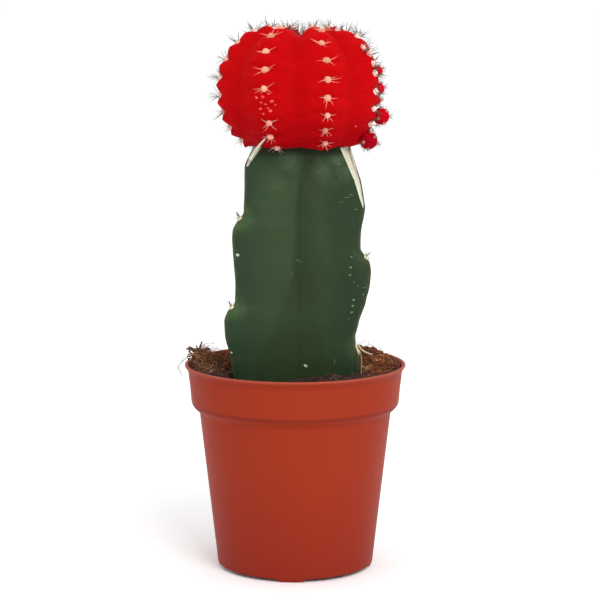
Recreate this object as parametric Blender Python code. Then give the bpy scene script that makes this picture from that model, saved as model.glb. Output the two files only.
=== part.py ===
# A moon cactus in its nursery pot: a red ribbed ball grafted on a three-ribbed green stock,
# which stands in potting mix in a small moulded plastic pot. Metres, +Z up. The origin is on
# the surface that the pot stands on, below the pot's centre, and the front faces -Y.

import math
import random

import bmesh
import bpy
from mathutils import Matrix, Vector, noise

MM = 0.001
GAP = 0.3 * MM  # between pieces that touch

# The pot, moulded in one piece, with a flared lip, a deep band below it and a tapering wall.
POT_HEIGHT = 60.3 * MM
POT_SIDES = 48
LIP_RADIUS = 32.5 * MM
LIP_DEPTH = 2.6 * MM
LIP_THICKNESS = 0.9 * MM
BAND_TOP_RADIUS = 31.45 * MM
BAND_FOOT_RADIUS = 30.62 * MM
BAND_FOOT_HEIGHT = 49.4 * MM
WALL_TOP_RADIUS = 28.3 * MM
WALL_TOP_HEIGHT = 47.0 * MM
WALL_FOOT_RADIUS = 22.98 * MM
WALL_THICKNESS = 1.0 * MM
BASE_RADIUS = 22.64 * MM
BASE_ROUNDING = 1.2 * MM
FOOT_RING_WIDTH = 1.6 * MM
FLOOR_UNDERSIDE = 1.8 * MM
FLOOR_THICKNESS = 1.0 * MM
FOOT_COUNT = 4
FOOT_TURN = math.radians(-3.0)  # of the first foot from the front, towards +X
FOOT_SPAN = math.radians(18.0)
FOOT_HEIGHT = 0.75 * MM
DRAIN_HOLE_RADIUS = 2.8 * MM
DRAIN_HOLE_CIRCLE = 14.0 * MM

# The potting mix: nearly level with the lip, heaped at the right, the back and the left, and
# sunk in front of the stock.
SOIL_SIDES = 42
SOIL_AT_STEM = 60.6 * MM
SOIL_AT_WALL = 59.4 * MM
SOIL_HEAPS = (  # x, y, height, spread
    (14.0 * MM, 20.0 * MM, 2.6 * MM, 8.0 * MM),
    (25.0 * MM, 13.0 * MM, 0.7 * MM, 6.0 * MM),
    (-16.0 * MM, 25.0 * MM, -0.6 * MM, 6.0 * MM),
    (-28.0 * MM, 4.0 * MM, 3.6 * MM, 3.6 * MM),
    (-5.0 * MM, -20.0 * MM, -5.5 * MM, 10.0 * MM),
)
SOIL_ROUGHNESS = 0.55 * MM
SOIL_LUMPS = 5.0 * MM  # the size of the swells in its surface
SOIL_RING_SHARES = (0.09, 0.28, 0.5, 0.75, 1.0)  # of the way from the pot's wall to the stock
CHIP_COUNT = 20
CHIP_RADIUS = (0.6 * MM, 1.5 * MM)
TWIG_ROUTE = ((-28.2, 4.2, 59.6), (-28.4, 3.6, 62.8), (-28.1, 3.2, 64.6), (-27.5, 3.0, 66.2))
TWIG_RADIUS = 0.42 * MM

# The stock: a cut length of stem with three ribs, two towards the front and one at the back.
STOCK_X = 1.0 * MM
STOCK_TOP = 125.2 * MM
STOCK_BOTTOM = 40.0 * MM
STOCK_RIB_TURNS = (math.radians(-60.0), math.radians(60.0), math.radians(180.0))
# Each rib's edge, as height and reach from the stock's axis in millimetres, read upwards.
STOCK_EDGES = (
    ((40, 20.5), (56, 21.6), (64, 22.9), (70, 24.6), (75, 24.9), (77.6, 23.6), (79.2, 21.0),
     (85, 20.9), (92, 21.6), (98, 22.1), (101, 21.9), (103.2, 20.5), (105, 18.3), (113, 17.5), (126, 17.2)),
    ((40, 19.8), (57, 20.4), (63, 20.3), (67.5, 19.0), (69.5, 18.6), (74, 19.6), (80, 22.2),
     (85, 23.9), (90, 23.6), (93, 22.3), (94.6, 20.6), (100, 20.9), (107, 22.2), (115, 22.4), (126, 22.4)),
    ((40, 20.0), (56, 21.4), (64, 22.6), (71, 23.6), (75, 22.6), (76.6, 20.4), (84, 20.8),
     (92, 22.4), (98, 22.8), (101, 21.8), (102.8, 19.8), (110, 19.6), (126, 19.4)),
)
STOCK_AREOLES = (  # height and reach of each cushion, one list for each rib
    ((78.4 * MM, 22.4 * MM), (104.0 * MM, 19.7 * MM)),
    ((93.7 * MM, 21.8 * MM),),
    ((75.8 * MM, 21.8 * MM), (101.9 * MM, 21.0 * MM)),
)
STOCK_VALLEY = 0.43  # share of the mean reach at which the faces between ribs lie
STOCK_EDGE_SHARPNESS = 5.0 * MM
STOCK_EDGE_BLEND = 14
STOCK_ROWS = 30
STOCK_SIDES = 36
# Each rib's top corner is sliced off: the turn that the slice faces, the height where it leaves
# the rib's edge, and how far it leans in for each unit of height.
STOCK_SLICES = (
    (math.radians(-69.0), 117.4 * MM, 0.60),
    (math.radians(69.0), 106.0 * MM, 0.40),
    (math.radians(180.0), 113.0 * MM, 0.66),
)
STOCK_CUSHION = (1.15 * MM, 0.8 * MM, 0.9 * MM)
STOCK_SPINE_LENGTH = 2.4 * MM
STOCK_SPINE_RADIUS = 0.16 * MM
STOCK_SPINE_LEANS = (-0.45, 0.05, 0.5)
ROOT_ROUTES = (  # aerial roots in millimetres, from the right rib to the mix, and their radius
    (((16.0, -8.2, 68.2), (17.6, -9.4, 67.0), (18.4, -10.0, 65.7), (19.1, -9.6, 64.8)), 0.50 * MM),
    (((16.2, -8.4, 67.8), (17.8, -9.0, 67.0), (20.0, -8.0, 64.9), (22.3, -6.2, 63.6)), 0.36 * MM),
    (((18.3, -9.9, 65.9), (19.0, -10.4, 64.6), (19.3, -11.8, 62.8), (19.1, -13.2, 61.3)), 0.34 * MM),
)

# The scion: a flattened ball of eight ribs, each a row of chins with a woolly areole above.
SCION_X = 1.4 * MM
SCION_RIB_TURNS = tuple(math.radians(turn) for turn in (-80, -25.5, 21, 68, 113, 156, 197, 239))
SCION_RIB_PHASES = (0.0, 0.5, 0.0, 0.75, 0.25, 0.5, 0.0, 0.5)  # of the areoles, in pitches
# The ball's outline over a rib's notches, as radius and height in millimetres, from the top.
SCION_OUTLINE = ((0, 155.0), (4.5, 156.6), (9.2, 158.0), (13.6, 156.9), (17.6, 154.0), (21.0, 149.4),
                 (22.6, 145.0), (22.9, 140.4), (22.4, 135.4), (21.4, 131.4), (19.6, 127.9), (17.8, 125.5),
                 (16.3, 124.6), (15.2, 125.0), (14.5, 125.6), (8.0, 125.6), (0, 125.6))
SCION_SEAT_RADIUS = 14.5 * MM
# The way down a rib to each areole, in millimetres: the old ones below lie closer together.
SCION_AREOLE_WAYS = (2.4, 7.6, 13.4, 19.4, 25.1, 30.5, 35.5, 40.4, 44.8, 49.1, 53.0)
SCION_FIRST_AREOLE = 1
SCION_LAST_AREOLE = 9.5
SCION_TOP_ROWS = (0.4, 0.7)  # above the first areole, counted as areoles are
SCION_ROWS_PER_PITCH = 4
SCION_UNDERSIDE_ROWS = (0.33, 0.66, 1.0)  # from the last row to the seat
SCION_COLUMNS_PER_RIB = 6
SCION_VALLEY_DEPTH = 3.4 * MM
SCION_VALLEY_SHAPE = 2.8  # higher for fuller ribs and narrower furrows
SCION_VALLEY_FADE = 9.0 * MM  # radius within which the furrows run out at the top
# How far each rib draws in where it curls under the ball, from this way down.
SCION_RIB_TUCKS = (2.4 * MM, 0.3 * MM, 0.0, 0.0, 0.4 * MM, 0.2 * MM, 0.5 * MM, 1.4 * MM)
SCION_TUCK_FROM = 36.0 * MM
SCION_TUCK_OVER = 15.0 * MM
SCION_CHIN = 1.35 * MM
SCION_CUSHION = (0.95 * MM, 0.8 * MM, 0.55 * MM)
SCION_SPINE_LENGTH = (3.0 * MM, 4.2 * MM)
SCION_SPINE_RADIUS = 0.15 * MM
SCION_SPINES = 3
SCION_TUFT_RADIUS = 2.6 * MM
SCION_TUFT_SPINES = 9
# Offsets that bud beside the right-hand rib's areoles: the middle in millimetres and the radius.
PUP_HEART = Vector((1.4, 0.0, 138.0)) * MM  # the point that they all lean away from
PUPS = (
    ((23.7, -5.0, 146.0), 1.50 * MM),
    ((24.0, -4.6, 140.9), 1.65 * MM),
    ((23.5, -5.5, 137.6), 1.35 * MM),
    ((24.2, -3.8, 133.0), 2.50 * MM),
    ((20.9, -7.5, 126.4), 2.65 * MM),
)
PUP_SPINES = 5
PUP_SPINE_LENGTH = 1.6 * MM

DRAWS = random.Random(11)


def empty_scene():
    for thing in list(bpy.data.objects):
        bpy.data.objects.remove(thing, do_unlink=True)


def plain_material(name, colour, roughness):
    material = bpy.data.materials.new(name)
    material.use_nodes = True
    shader = material.node_tree.nodes["Principled BSDF"]
    shader.inputs["Base Color"].default_value = (*colour, 1.0)
    shader.inputs["Roughness"].default_value = roughness
    shader.inputs["Metallic"].default_value = 0.0
    return material


def at(turn, radius, height, centre_x=0.0):
    """A point by its turn about the axis, from the front towards +X, its radius and height."""
    return Vector((centre_x + radius * math.sin(turn), -radius * math.cos(turn), height))


def new_object(name, mesh, smooth_angle=None):
    thing = bpy.data.objects.new(name, mesh)
    bpy.context.scene.collection.objects.link(thing)
    if smooth_angle:
        mesh.shade_smooth()
        mesh.set_sharp_from_angle(angle=smooth_angle)
    return thing


def mesh_of(name, shape):
    """A mesh from a bmesh, with its faces turned outwards."""
    bmesh.ops.recalc_face_normals(shape, faces=shape.faces)
    mesh = bpy.data.meshes.new(name)
    shape.to_mesh(mesh)
    shape.free()
    return mesh


def skin(rings):
    """A closed bmesh over rings of points. A ring of one point closes that end."""
    shape = bmesh.new()
    rows = [[shape.verts.new(point) for point in ring] for ring in rings]
    for lower, upper in zip(rows, rows[1:]):
        count = max(len(lower), len(upper))
        for i in range(count):
            j = (i + 1) % count
            if len(lower) == 1:
                corners = (lower[0], upper[j], upper[i])
            elif len(upper) == 1:
                corners = (lower[i], lower[j], upper[0])
            else:
                corners = (lower[i], lower[j], upper[j], upper[i])
            shape.faces.new(corners)
    return shape


def smooth_curve(points):
    """A function of the way along a smooth curve through the points, and its whole length."""
    points = [Vector(point) for point in points]
    ends = [2 * points[0] - points[1], *points, 2 * points[-1] - points[-2]]
    fine = 24
    samples = []
    for a, b, c, d in zip(ends, ends[1:], ends[2:], ends[3:]):
        for step in range(fine):
            t = step / fine
            samples.append(
                0.5 * (2 * b + (c - a) * t + (2 * a - 5 * b + 4 * c - d) * t**2
                       + (3 * b - a - 3 * c + d) * t**3)
            )
    samples.append(points[-1])
    ways = [0.0]
    for first, second in zip(samples, samples[1:]):
        ways.append(ways[-1] + (second - first).length)

    def place(way):
        way = min(max(way, 0.0), ways[-1])
        k = next(i for i in range(1, len(ways)) if ways[i] >= way)
        share = (way - ways[k - 1]) / (ways[k] - ways[k - 1])
        return samples[k - 1].lerp(samples[k], share)

    return place, ways[-1]


def lump(size, placing):
    """An object for a small rounded lump: an icosahedron, stretched and placed."""
    shape = bmesh.new()
    bmesh.ops.create_icosphere(shape, subdivisions=1, radius=1.0)
    bmesh.ops.transform(shape, matrix=placing @ Matrix.Diagonal((*size, 1.0)), verts=shape.verts)
    return bpy.data.objects.new("lump", mesh_of("lump", shape))


def spine(root, direction, length, radius):
    """An object for a three-sided needle whose root is sunk by a third of a millimetre."""
    sunk = 0.35 * MM
    shape = bmesh.new()
    bmesh.ops.create_cone(shape, cap_ends=True, cap_tris=True, segments=3,
                          radius1=radius, radius2=0.0, depth=length + sunk)
    turned = direction.to_track_quat("Z", "Y").to_matrix().to_4x4()
    middle = root + direction.normalized() * (0.5 * (length + sunk) - sunk)
    bmesh.ops.transform(shape, matrix=Matrix.Translation(middle) @ turned, verts=shape.verts)
    return bpy.data.objects.new("spine", mesh_of("spine", shape))


def strand(route, radius, taper, sides=5, rows=8):
    """An object for a root or twig: a tube along a smooth curve, thinner at its end."""
    place, length = smooth_curve([Vector(point) * MM for point in route])
    rings = [[place(0.0)]]
    for row in range(rows + 1):
        way = length * row / rows
        step = 0.02 * length
        along = (place(way + step) - place(way - step)).normalized()
        across = along.cross(Vector((0.3, 1.0, 0.2))).normalized()
        over = along.cross(across)
        width = radius * (1.0 - taper * row / rows)
        turns = [math.tau * side / sides for side in range(sides)]
        rings.append([place(way) + width * (across * math.cos(t) + over * math.sin(t)) for t in turns])
    rings.append([place(length)])
    return bpy.data.objects.new("strand", mesh_of("strand", skin(rings)))


def placing_on(point, normal, upwards):
    """A matrix with Z along the surface's normal and Y as near upwards as it can lie."""
    across = upwards.cross(normal).normalized()
    along = normal.cross(across)
    turned = Matrix((across, along, normal)).transposed().to_4x4()
    return Matrix.Translation(point) @ turned


def fuse(body, growths):
    """Joins small growths to the body that they grow from, and removes the loose ones."""
    group = bpy.data.collections.new(body.name + "_growths")
    bpy.context.scene.collection.children.link(group)
    for growth in growths:
        group.objects.link(growth)
    union = body.modifiers.new("growths", "BOOLEAN")
    union.operation = "UNION"
    union.operand_type = "COLLECTION"
    union.collection = group
    union.solver = "EXACT"
    bpy.context.view_layer.update()
    fused = bpy.data.meshes.new_from_object(body.evaluated_get(bpy.context.evaluated_depsgraph_get()))
    body.modifiers.clear()
    body.data = fused
    for growth in growths:
        bpy.data.objects.remove(growth, do_unlink=True)
    bpy.data.collections.remove(group)


def pot_outline():
    """The pot's section as radius and height, from under the floor, up the outside, and in."""
    inner_lip = LIP_RADIUS - LIP_THICKNESS
    inner_base = WALL_FOOT_RADIUS - WALL_THICKNESS
    floor_top = FLOOR_UNDERSIDE + FLOOR_THICKNESS
    foot_inner = BASE_RADIUS - FOOT_RING_WIDTH
    return (
        (0.0, FLOOR_UNDERSIDE),
        (foot_inner, FLOOR_UNDERSIDE),
        (foot_inner, 0.0),
        (BASE_RADIUS - 0.3 * BASE_ROUNDING, 0.0),
        (BASE_RADIUS, 0.25 * BASE_ROUNDING),
        (WALL_FOOT_RADIUS, BASE_ROUNDING),
        (WALL_TOP_RADIUS, WALL_TOP_HEIGHT),
        (BAND_FOOT_RADIUS - 1.0 * MM, BAND_FOOT_HEIGHT - 1.6 * MM),
        (BAND_FOOT_RADIUS - 0.25 * MM, BAND_FOOT_HEIGHT - 0.8 * MM),
        (BAND_FOOT_RADIUS, BAND_FOOT_HEIGHT),
        (BAND_TOP_RADIUS, POT_HEIGHT - LIP_DEPTH),
        (BAND_TOP_RADIUS + 0.15 * MM, POT_HEIGHT - 0.7 * LIP_DEPTH),
        (LIP_RADIUS - 0.15 * MM, POT_HEIGHT - 0.26 * LIP_DEPTH),
        (LIP_RADIUS, POT_HEIGHT - 0.1 * LIP_DEPTH),
        (LIP_RADIUS - 0.15 * MM, POT_HEIGHT),
        (inner_lip, POT_HEIGHT),
        (inner_lip - 0.2 * MM, POT_HEIGHT - 0.25 * MM),
        (BAND_TOP_RADIUS - WALL_THICKNESS, POT_HEIGHT - LIP_DEPTH),
        (BAND_FOOT_RADIUS - WALL_THICKNESS, BAND_FOOT_HEIGHT),
        (WALL_TOP_RADIUS - WALL_THICKNESS, WALL_TOP_HEIGHT),
        (inner_base, floor_top + 1.0 * MM),
        (inner_base - 0.8 * MM, floor_top),
        (0.0, floor_top),
    )


def inner_radius(height):
    """The pot's inner radius at a height above its floor's rounding."""
    heights = (3.8 * MM, WALL_TOP_HEIGHT, BAND_FOOT_HEIGHT, POT_HEIGHT - LIP_DEPTH, POT_HEIGHT - 0.25 * MM)
    radii = [radius - WALL_THICKNESS
             for radius in (WALL_FOOT_RADIUS, WALL_TOP_RADIUS, BAND_FOOT_RADIUS, BAND_TOP_RADIUS)]
    radii.append(LIP_RADIUS - LIP_THICKNESS - 0.2 * MM)
    for low, high, near, far in zip(heights, heights[1:], radii, radii[1:]):
        if height <= high:
            return near + (far - near) * (height - low) / (high - low)
    return radii[-1]


def cutter(name, shape):
    thing = new_object(name, mesh_of(name, shape))
    thing.hide_render = True
    thing.display_type = "WIRE"
    return thing


def cut(body, tool):
    modifier = body.modifiers.new(tool.name, "BOOLEAN")
    modifier.operation = "DIFFERENCE"
    modifier.solver = "EXACT"
    modifier.object = tool


def make_pot():
    turns = [math.tau * side / POT_SIDES for side in range(POT_SIDES)]
    rings = []
    for radius, height in pot_outline():
        if radius == 0.0:
            rings.append([Vector((0.0, 0.0, height))])
        else:
            rings.append([at(turn, radius, height) for turn in turns])
    pot = new_object("pot", mesh_of("pot", skin(rings)), math.radians(35))
    pot.data.materials.append(plain_material("polypropylene", (0.39, 0.045, 0.024), 0.42))

    # The ring under the pot is cut away between its feet, and the floor has a hole beside each.
    pitch = math.tau / FOOT_COUNT
    steps = 10
    for index in range(FOOT_COUNT):
        first = FOOT_TURN + index * pitch + 0.5 * FOOT_SPAN
        last = first + pitch - FOOT_SPAN
        outline = []
        for radius, order in ((BASE_RADIUS + 2 * MM, range(steps + 1)),
                              (BASE_RADIUS - 2 * FOOT_RING_WIDTH, range(steps, -1, -1))):
            outline += [at(first + (last - first) * step / steps, radius, 0.0) for step in order]
        shape = bmesh.new()
        below = [shape.verts.new(point - Vector((0, 0, MM))) for point in outline]
        above = [shape.verts.new(point + Vector((0, 0, FOOT_HEIGHT))) for point in outline]
        shape.faces.new(below)
        shape.faces.new(above)
        for i in range(len(outline)):
            j = (i + 1) % len(outline)
            shape.faces.new((below[i], below[j], above[j], above[i]))
        cut(pot, cutter(f"foot_gap_{index}", shape))

        hole = bmesh.new()
        bmesh.ops.create_cone(hole, cap_ends=True, segments=16, radius1=DRAIN_HOLE_RADIUS,
                              radius2=DRAIN_HOLE_RADIUS, depth=4 * FLOOR_THICKNESS)
        centre = at(FOOT_TURN + (index + 0.5) * pitch, DRAIN_HOLE_CIRCLE, FLOOR_UNDERSIDE)
        bmesh.ops.translate(hole, vec=centre, verts=hole.verts)
        cut(pot, cutter(f"drain_hole_{index}", hole))


def rib_reach(rib, height):
    """How far a rib of the stock reaches at a height: a smooth line through its edge's points."""
    edge = STOCK_EDGES[rib]
    height_mm = min(max(height / MM, edge[0][0]), edge[-1][0])
    for (z0, r0), (z1, r1) in zip(edge, edge[1:]):
        if height_mm <= z1:
            share = (height_mm - z0) / (z1 - z0)
            eased = share * share * (3 - 2 * share)
            return (r0 + (r1 - r0) * (0.5 * share + 0.5 * eased)) * MM
    return edge[-1][1] * MM


def stock_section(height, grown=0.0):
    """The stock's outline at a height: three blunt ribs with shallow hollow faces between."""
    reaches = [rib_reach(rib, height) for rib in range(3)]
    valley = STOCK_VALLEY * sum(reaches) / 3
    points = []
    for side in range(STOCK_SIDES):
        sector, within = divmod(side, STOCK_SIDES // 3)
        turn = math.radians(120.0) * within / (STOCK_SIDES // 3)
        half = math.radians(60.0)
        rib = sector if turn <= half else (sector + 1) % 3
        away = turn if turn <= half else 2 * half - turn
        sharp = reaches[rib] + STOCK_EDGE_SHARPNESS
        flank = sharp * valley * math.sin(half) / (sharp * math.sin(away) + valley * math.sin(half - away))
        blend = (flank**-STOCK_EDGE_BLEND + reaches[rib] ** -STOCK_EDGE_BLEND) ** (-1 / STOCK_EDGE_BLEND)
        points.append(at(STOCK_RIB_TURNS[0] + sector * 2 * half + turn, blend + grown, height, STOCK_X))
    return points


def make_stock():
    bottom = STOCK_BOTTOM + GAP
    heights = [bottom + (STOCK_TOP - bottom) * row / STOCK_ROWS for row in range(STOCK_ROWS + 1)]
    centre = Vector((STOCK_X, 0.0, 0.0))
    rings = [[centre + Vector((0, 0, bottom))]]
    rings += [stock_section(height) for height in heights]
    rings.append([centre + Vector((0, 0, STOCK_TOP))])
    shape = skin(rings)
    for rib, (facing_turn, low_height, lean) in enumerate(STOCK_SLICES):
        low = at(STOCK_RIB_TURNS[rib], rib_reach(rib, low_height), low_height, STOCK_X)
        outwards = at(facing_turn, 1.0, lean).normalized()
        everything = [*shape.verts, *shape.edges, *shape.faces]
        bmesh.ops.bisect_plane(shape, geom=everything, plane_co=low, plane_no=outwards, clear_outer=True)
        bmesh.ops.holes_fill(shape, edges=[edge for edge in shape.edges if edge.is_boundary])
    stock = new_object("rootstock", mesh_of("rootstock", shape), math.radians(40))
    stock.data.materials.append(plain_material("green_stem", (0.045, 0.085, 0.035), 0.45))

    growths = []
    for turn, cushions in zip(STOCK_RIB_TURNS, STOCK_AREOLES):
        outwards = at(turn, 1.0, 0.0).normalized()
        tilted = (outwards + Vector((0, 0, 1.1))).normalized()
        for height, reach in cushions:
            centre = at(turn, reach, height, STOCK_X)
            growths.append(lump(STOCK_CUSHION, placing_on(centre, tilted, outwards)))
            for lean in STOCK_SPINE_LEANS:
                sideways = Vector((0, 0, 1)).cross(outwards) * lean
                direction = Vector((0, 0, 1)) + 0.25 * outwards + sideways
                length = STOCK_SPINE_LENGTH * DRAWS.uniform(0.8, 1.1)
                growths.append(spine(centre + tilted * 0.4 * MM, direction, length, STOCK_SPINE_RADIUS))
    growths += [strand(route, radius, 0.4) for route, radius in ROOT_ROUTES]
    fuse(stock, growths)


def soil_height(x, y):
    distance = math.hypot(x, y)
    share = min(distance / inner_radius(POT_HEIGHT), 1.0)
    height = SOIL_AT_STEM + (SOIL_AT_WALL - SOIL_AT_STEM) * share**2
    for heap_x, heap_y, tall, spread in SOIL_HEAPS:
        height += tall * math.exp(-((x - heap_x) ** 2 + (y - heap_y) ** 2) / (2 * spread**2))
    rough = noise.fractal(Vector((x, y, 0.0)) / SOIL_LUMPS, 1.0, 2.0, 3)
    return height + SOIL_ROUGHNESS * rough


def make_soil():
    turns = [math.tau * side / SOIL_SIDES for side in range(SOIL_SIDES)]
    floor_top = FLOOR_UNDERSIDE + FLOOR_THICKNESS
    bottom = floor_top + GAP
    side_heights = (floor_top + 1.6 * MM, WALL_TOP_HEIGHT + 0.5 * MM, BAND_FOOT_HEIGHT + 0.3 * MM)
    rings = [[Vector((0, 0, bottom))]]
    rings.append([at(turn, inner_radius(side_heights[0]) - 1.6 * MM, bottom) for turn in turns])
    for height in side_heights:
        rings.append([at(turn, inner_radius(height) - 2 * GAP, height) for turn in turns])

    # The hole is the stock's own outline, grown by the gap and widened to its fullest height.
    sections = [stock_section(height, GAP * 1.6) for height in (STOCK_BOTTOM, 57 * MM, 60 * MM, 64 * MM)]
    axis = Vector((STOCK_X, 0.0))
    hole = []
    for turn in turns:
        heading = Vector((math.sin(turn), -math.cos(turn)))
        hole.append(max(reach_along(section, axis, heading) for section in sections))

    edge = []
    for turn in turns:
        lie = POT_HEIGHT
        for _ in range(3):
            rim = at(turn, inner_radius(lie) - 2 * GAP, 0.0)
            lie = min(soil_height(rim.x, rim.y), POT_HEIGHT - 0.3 * MM)
        rim.z = lie
        edge.append(rim)
    below = [min(POT_HEIGHT - LIP_DEPTH, rim.z - 0.8 * MM) for rim in edge]
    rings.append([at(turn, inner_radius(height) - 2 * GAP, height) for turn, height in zip(turns, below)])
    rings.append(edge)
    mouth = []
    for turn, reach in zip(turns, hole):
        mouth.append(at(turn, reach, 0.0, STOCK_X))
    for share in SOIL_RING_SHARES:
        row = []
        for rim, lip in zip(edge, mouth):
            point = Vector((rim.x, rim.y, 0.0)).lerp(lip, share)
            point.z = soil_height(point.x, point.y)
            row.append(point)
        rings.append(row)
    rings.append([Vector((point.x, point.y, STOCK_BOTTOM)) for point in mouth])
    rings.append([Vector((STOCK_X, 0.0, STOCK_BOTTOM))])
    soil = new_object("soil", mesh_of("soil", skin(rings)))
    soil.data.materials.append(plain_material("potting_mix", (0.12, 0.045, 0.02), 0.95))

    chips = []
    while len(chips) < CHIP_COUNT:
        turn = DRAWS.uniform(0.0, math.tau)
        radius = DRAWS.uniform(*CHIP_RADIUS)
        index = int(turn / math.tau * SOIL_SIDES) % SOIL_SIDES
        nearest = max(hole[index], hole[(index + 1) % SOIL_SIDES]) + radius + 1.2 * MM
        furthest = inner_radius(POT_HEIGHT) - radius - 2.2 * MM
        if nearest >= furthest:
            continue
        point = at(turn, DRAWS.uniform(nearest, furthest), 0.0)
        point.z = soil_height(point.x, point.y) + 0.1 * radius
        size = (radius, radius * DRAWS.uniform(0.6, 1.0), radius * DRAWS.uniform(0.5, 0.9))
        turned = Matrix.Rotation(DRAWS.uniform(0.0, math.tau), 4, "Z")
        tilted = Matrix.Rotation(DRAWS.uniform(-0.5, 0.5), 4, "X")
        chips.append(lump(size, Matrix.Translation(point) @ turned @ tilted))
    chips.append(strand(TWIG_ROUTE, TWIG_RADIUS, 0.5, rows=4))
    fuse(soil, chips)


def reach_along(section, axis, heading):
    """How far a closed outline reaches from the axis along a heading."""
    best = 0.0
    flat = [point.xy - axis for point in section]
    for a, b in zip(flat, flat[1:] + flat[:1]):
        edge = b - a
        denominator = heading.x * edge.y - heading.y * edge.x
        if abs(denominator) < 1e-12:
            continue
        distance = (a.x * edge.y - a.y * edge.x) / denominator
        share = (a.x * heading.y - a.y * heading.x) / denominator
        if -1e-6 <= share <= 1 + 1e-6:
            best = max(best, distance)
    return best


class ScionSurface:
    """The ball's surface, by the rib, the share across it from -1 to 1, and the way down it."""

    def __init__(self):
        self.place, self.length = smooth_curve([Vector((r, z)) * MM for r, z in SCION_OUTLINE])

    def way(self, areole):
        """The way down a rib to an areole, or to a share of the pitch between two."""
        index = min(int(areole), len(SCION_AREOLE_WAYS) - 2)
        first, second = SCION_AREOLE_WAYS[index:index + 2]
        return (first + (second - first) * (areole - index)) * MM

    def turn(self, rib, across):
        count = len(SCION_RIB_TURNS)
        here = SCION_RIB_TURNS[rib]
        other = SCION_RIB_TURNS[(rib + (1 if across > 0 else -1)) % count]
        span = (other - here) % math.tau if across > 0 else (here - other) % math.tau
        return here + across * 0.5 * span

    def point(self, rib, across, way, chin=0.0, depth=SCION_VALLEY_DEPTH):
        spot = self.place(way)
        along = self.place(way + 0.4 * MM) - self.place(way - 0.4 * MM)
        outwards = Vector((-along.y, along.x)).normalized()
        furrow = depth * abs(across) ** SCION_VALLEY_SHAPE * min(spot.x / SCION_VALLEY_FADE, 1.0)
        curl = min(max((way - SCION_TUCK_FROM) / SCION_TUCK_OVER, 0.0), 1.0)
        tuck = SCION_RIB_TUCKS[rib] * curl * curl * (1.0 - across * across)
        spot = spot + outwards * (chin - furrow * (1.0 - 0.4 * curl))
        return at(self.turn(rib, across), spot.x - tuck * depth / SCION_VALLEY_DEPTH, spot.y, SCION_X)

    def on_rib(self, rib, across, areole):
        """A point on the outer surface, where a chin swells between two areoles of the rib."""
        share = areole - SCION_RIB_PHASES[rib]
        chin = 0.0
        if SCION_FIRST_AREOLE <= share and areole <= SCION_LAST_AREOLE:
            chin = SCION_CHIN * math.sin(math.pi * (share % 1.0) ** 0.7) * (1.0 - abs(across) ** 1.6)
        return self.point(rib, across, self.way(areole), chin)

    def placing(self, rib, across, areole):
        """A frame on the surface, its Z outwards and its Y up the rib."""
        up = self.on_rib(rib, across, areole - 0.06) - self.on_rib(rib, across, areole + 0.06)
        side = self.on_rib(rib, across + 0.05, areole) - self.on_rib(rib, across - 0.05, areole)
        return placing_on(self.on_rib(rib, across, areole), side.cross(up).normalized(), up.normalized())

    def areoles(self, rib):
        phase = SCION_RIB_PHASES[rib]
        return [index + phase for index in range(SCION_FIRST_AREOLE, len(SCION_AREOLE_WAYS))
                if index + phase <= SCION_LAST_AREOLE]


def spine_star(placing, count, length_range, radius, spread):
    """Spines that spread from a cushion, most of them sideways and down."""
    spines = []
    first = DRAWS.uniform(-0.4, 0.4)
    for index in range(count):
        angle = first + math.tau * index / count - math.pi / 2
        flat = Vector((math.cos(angle), math.sin(angle), 0.0))
        root = placing @ (0.4 * MM * flat + Vector((0, 0, 0.2 * MM)))
        direction = placing.to_3x3() @ (flat + Vector((0, 0, spread * DRAWS.uniform(0.8, 1.3))))
        spines.append(spine(root, direction, DRAWS.uniform(*length_range), radius))
    return spines


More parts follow.
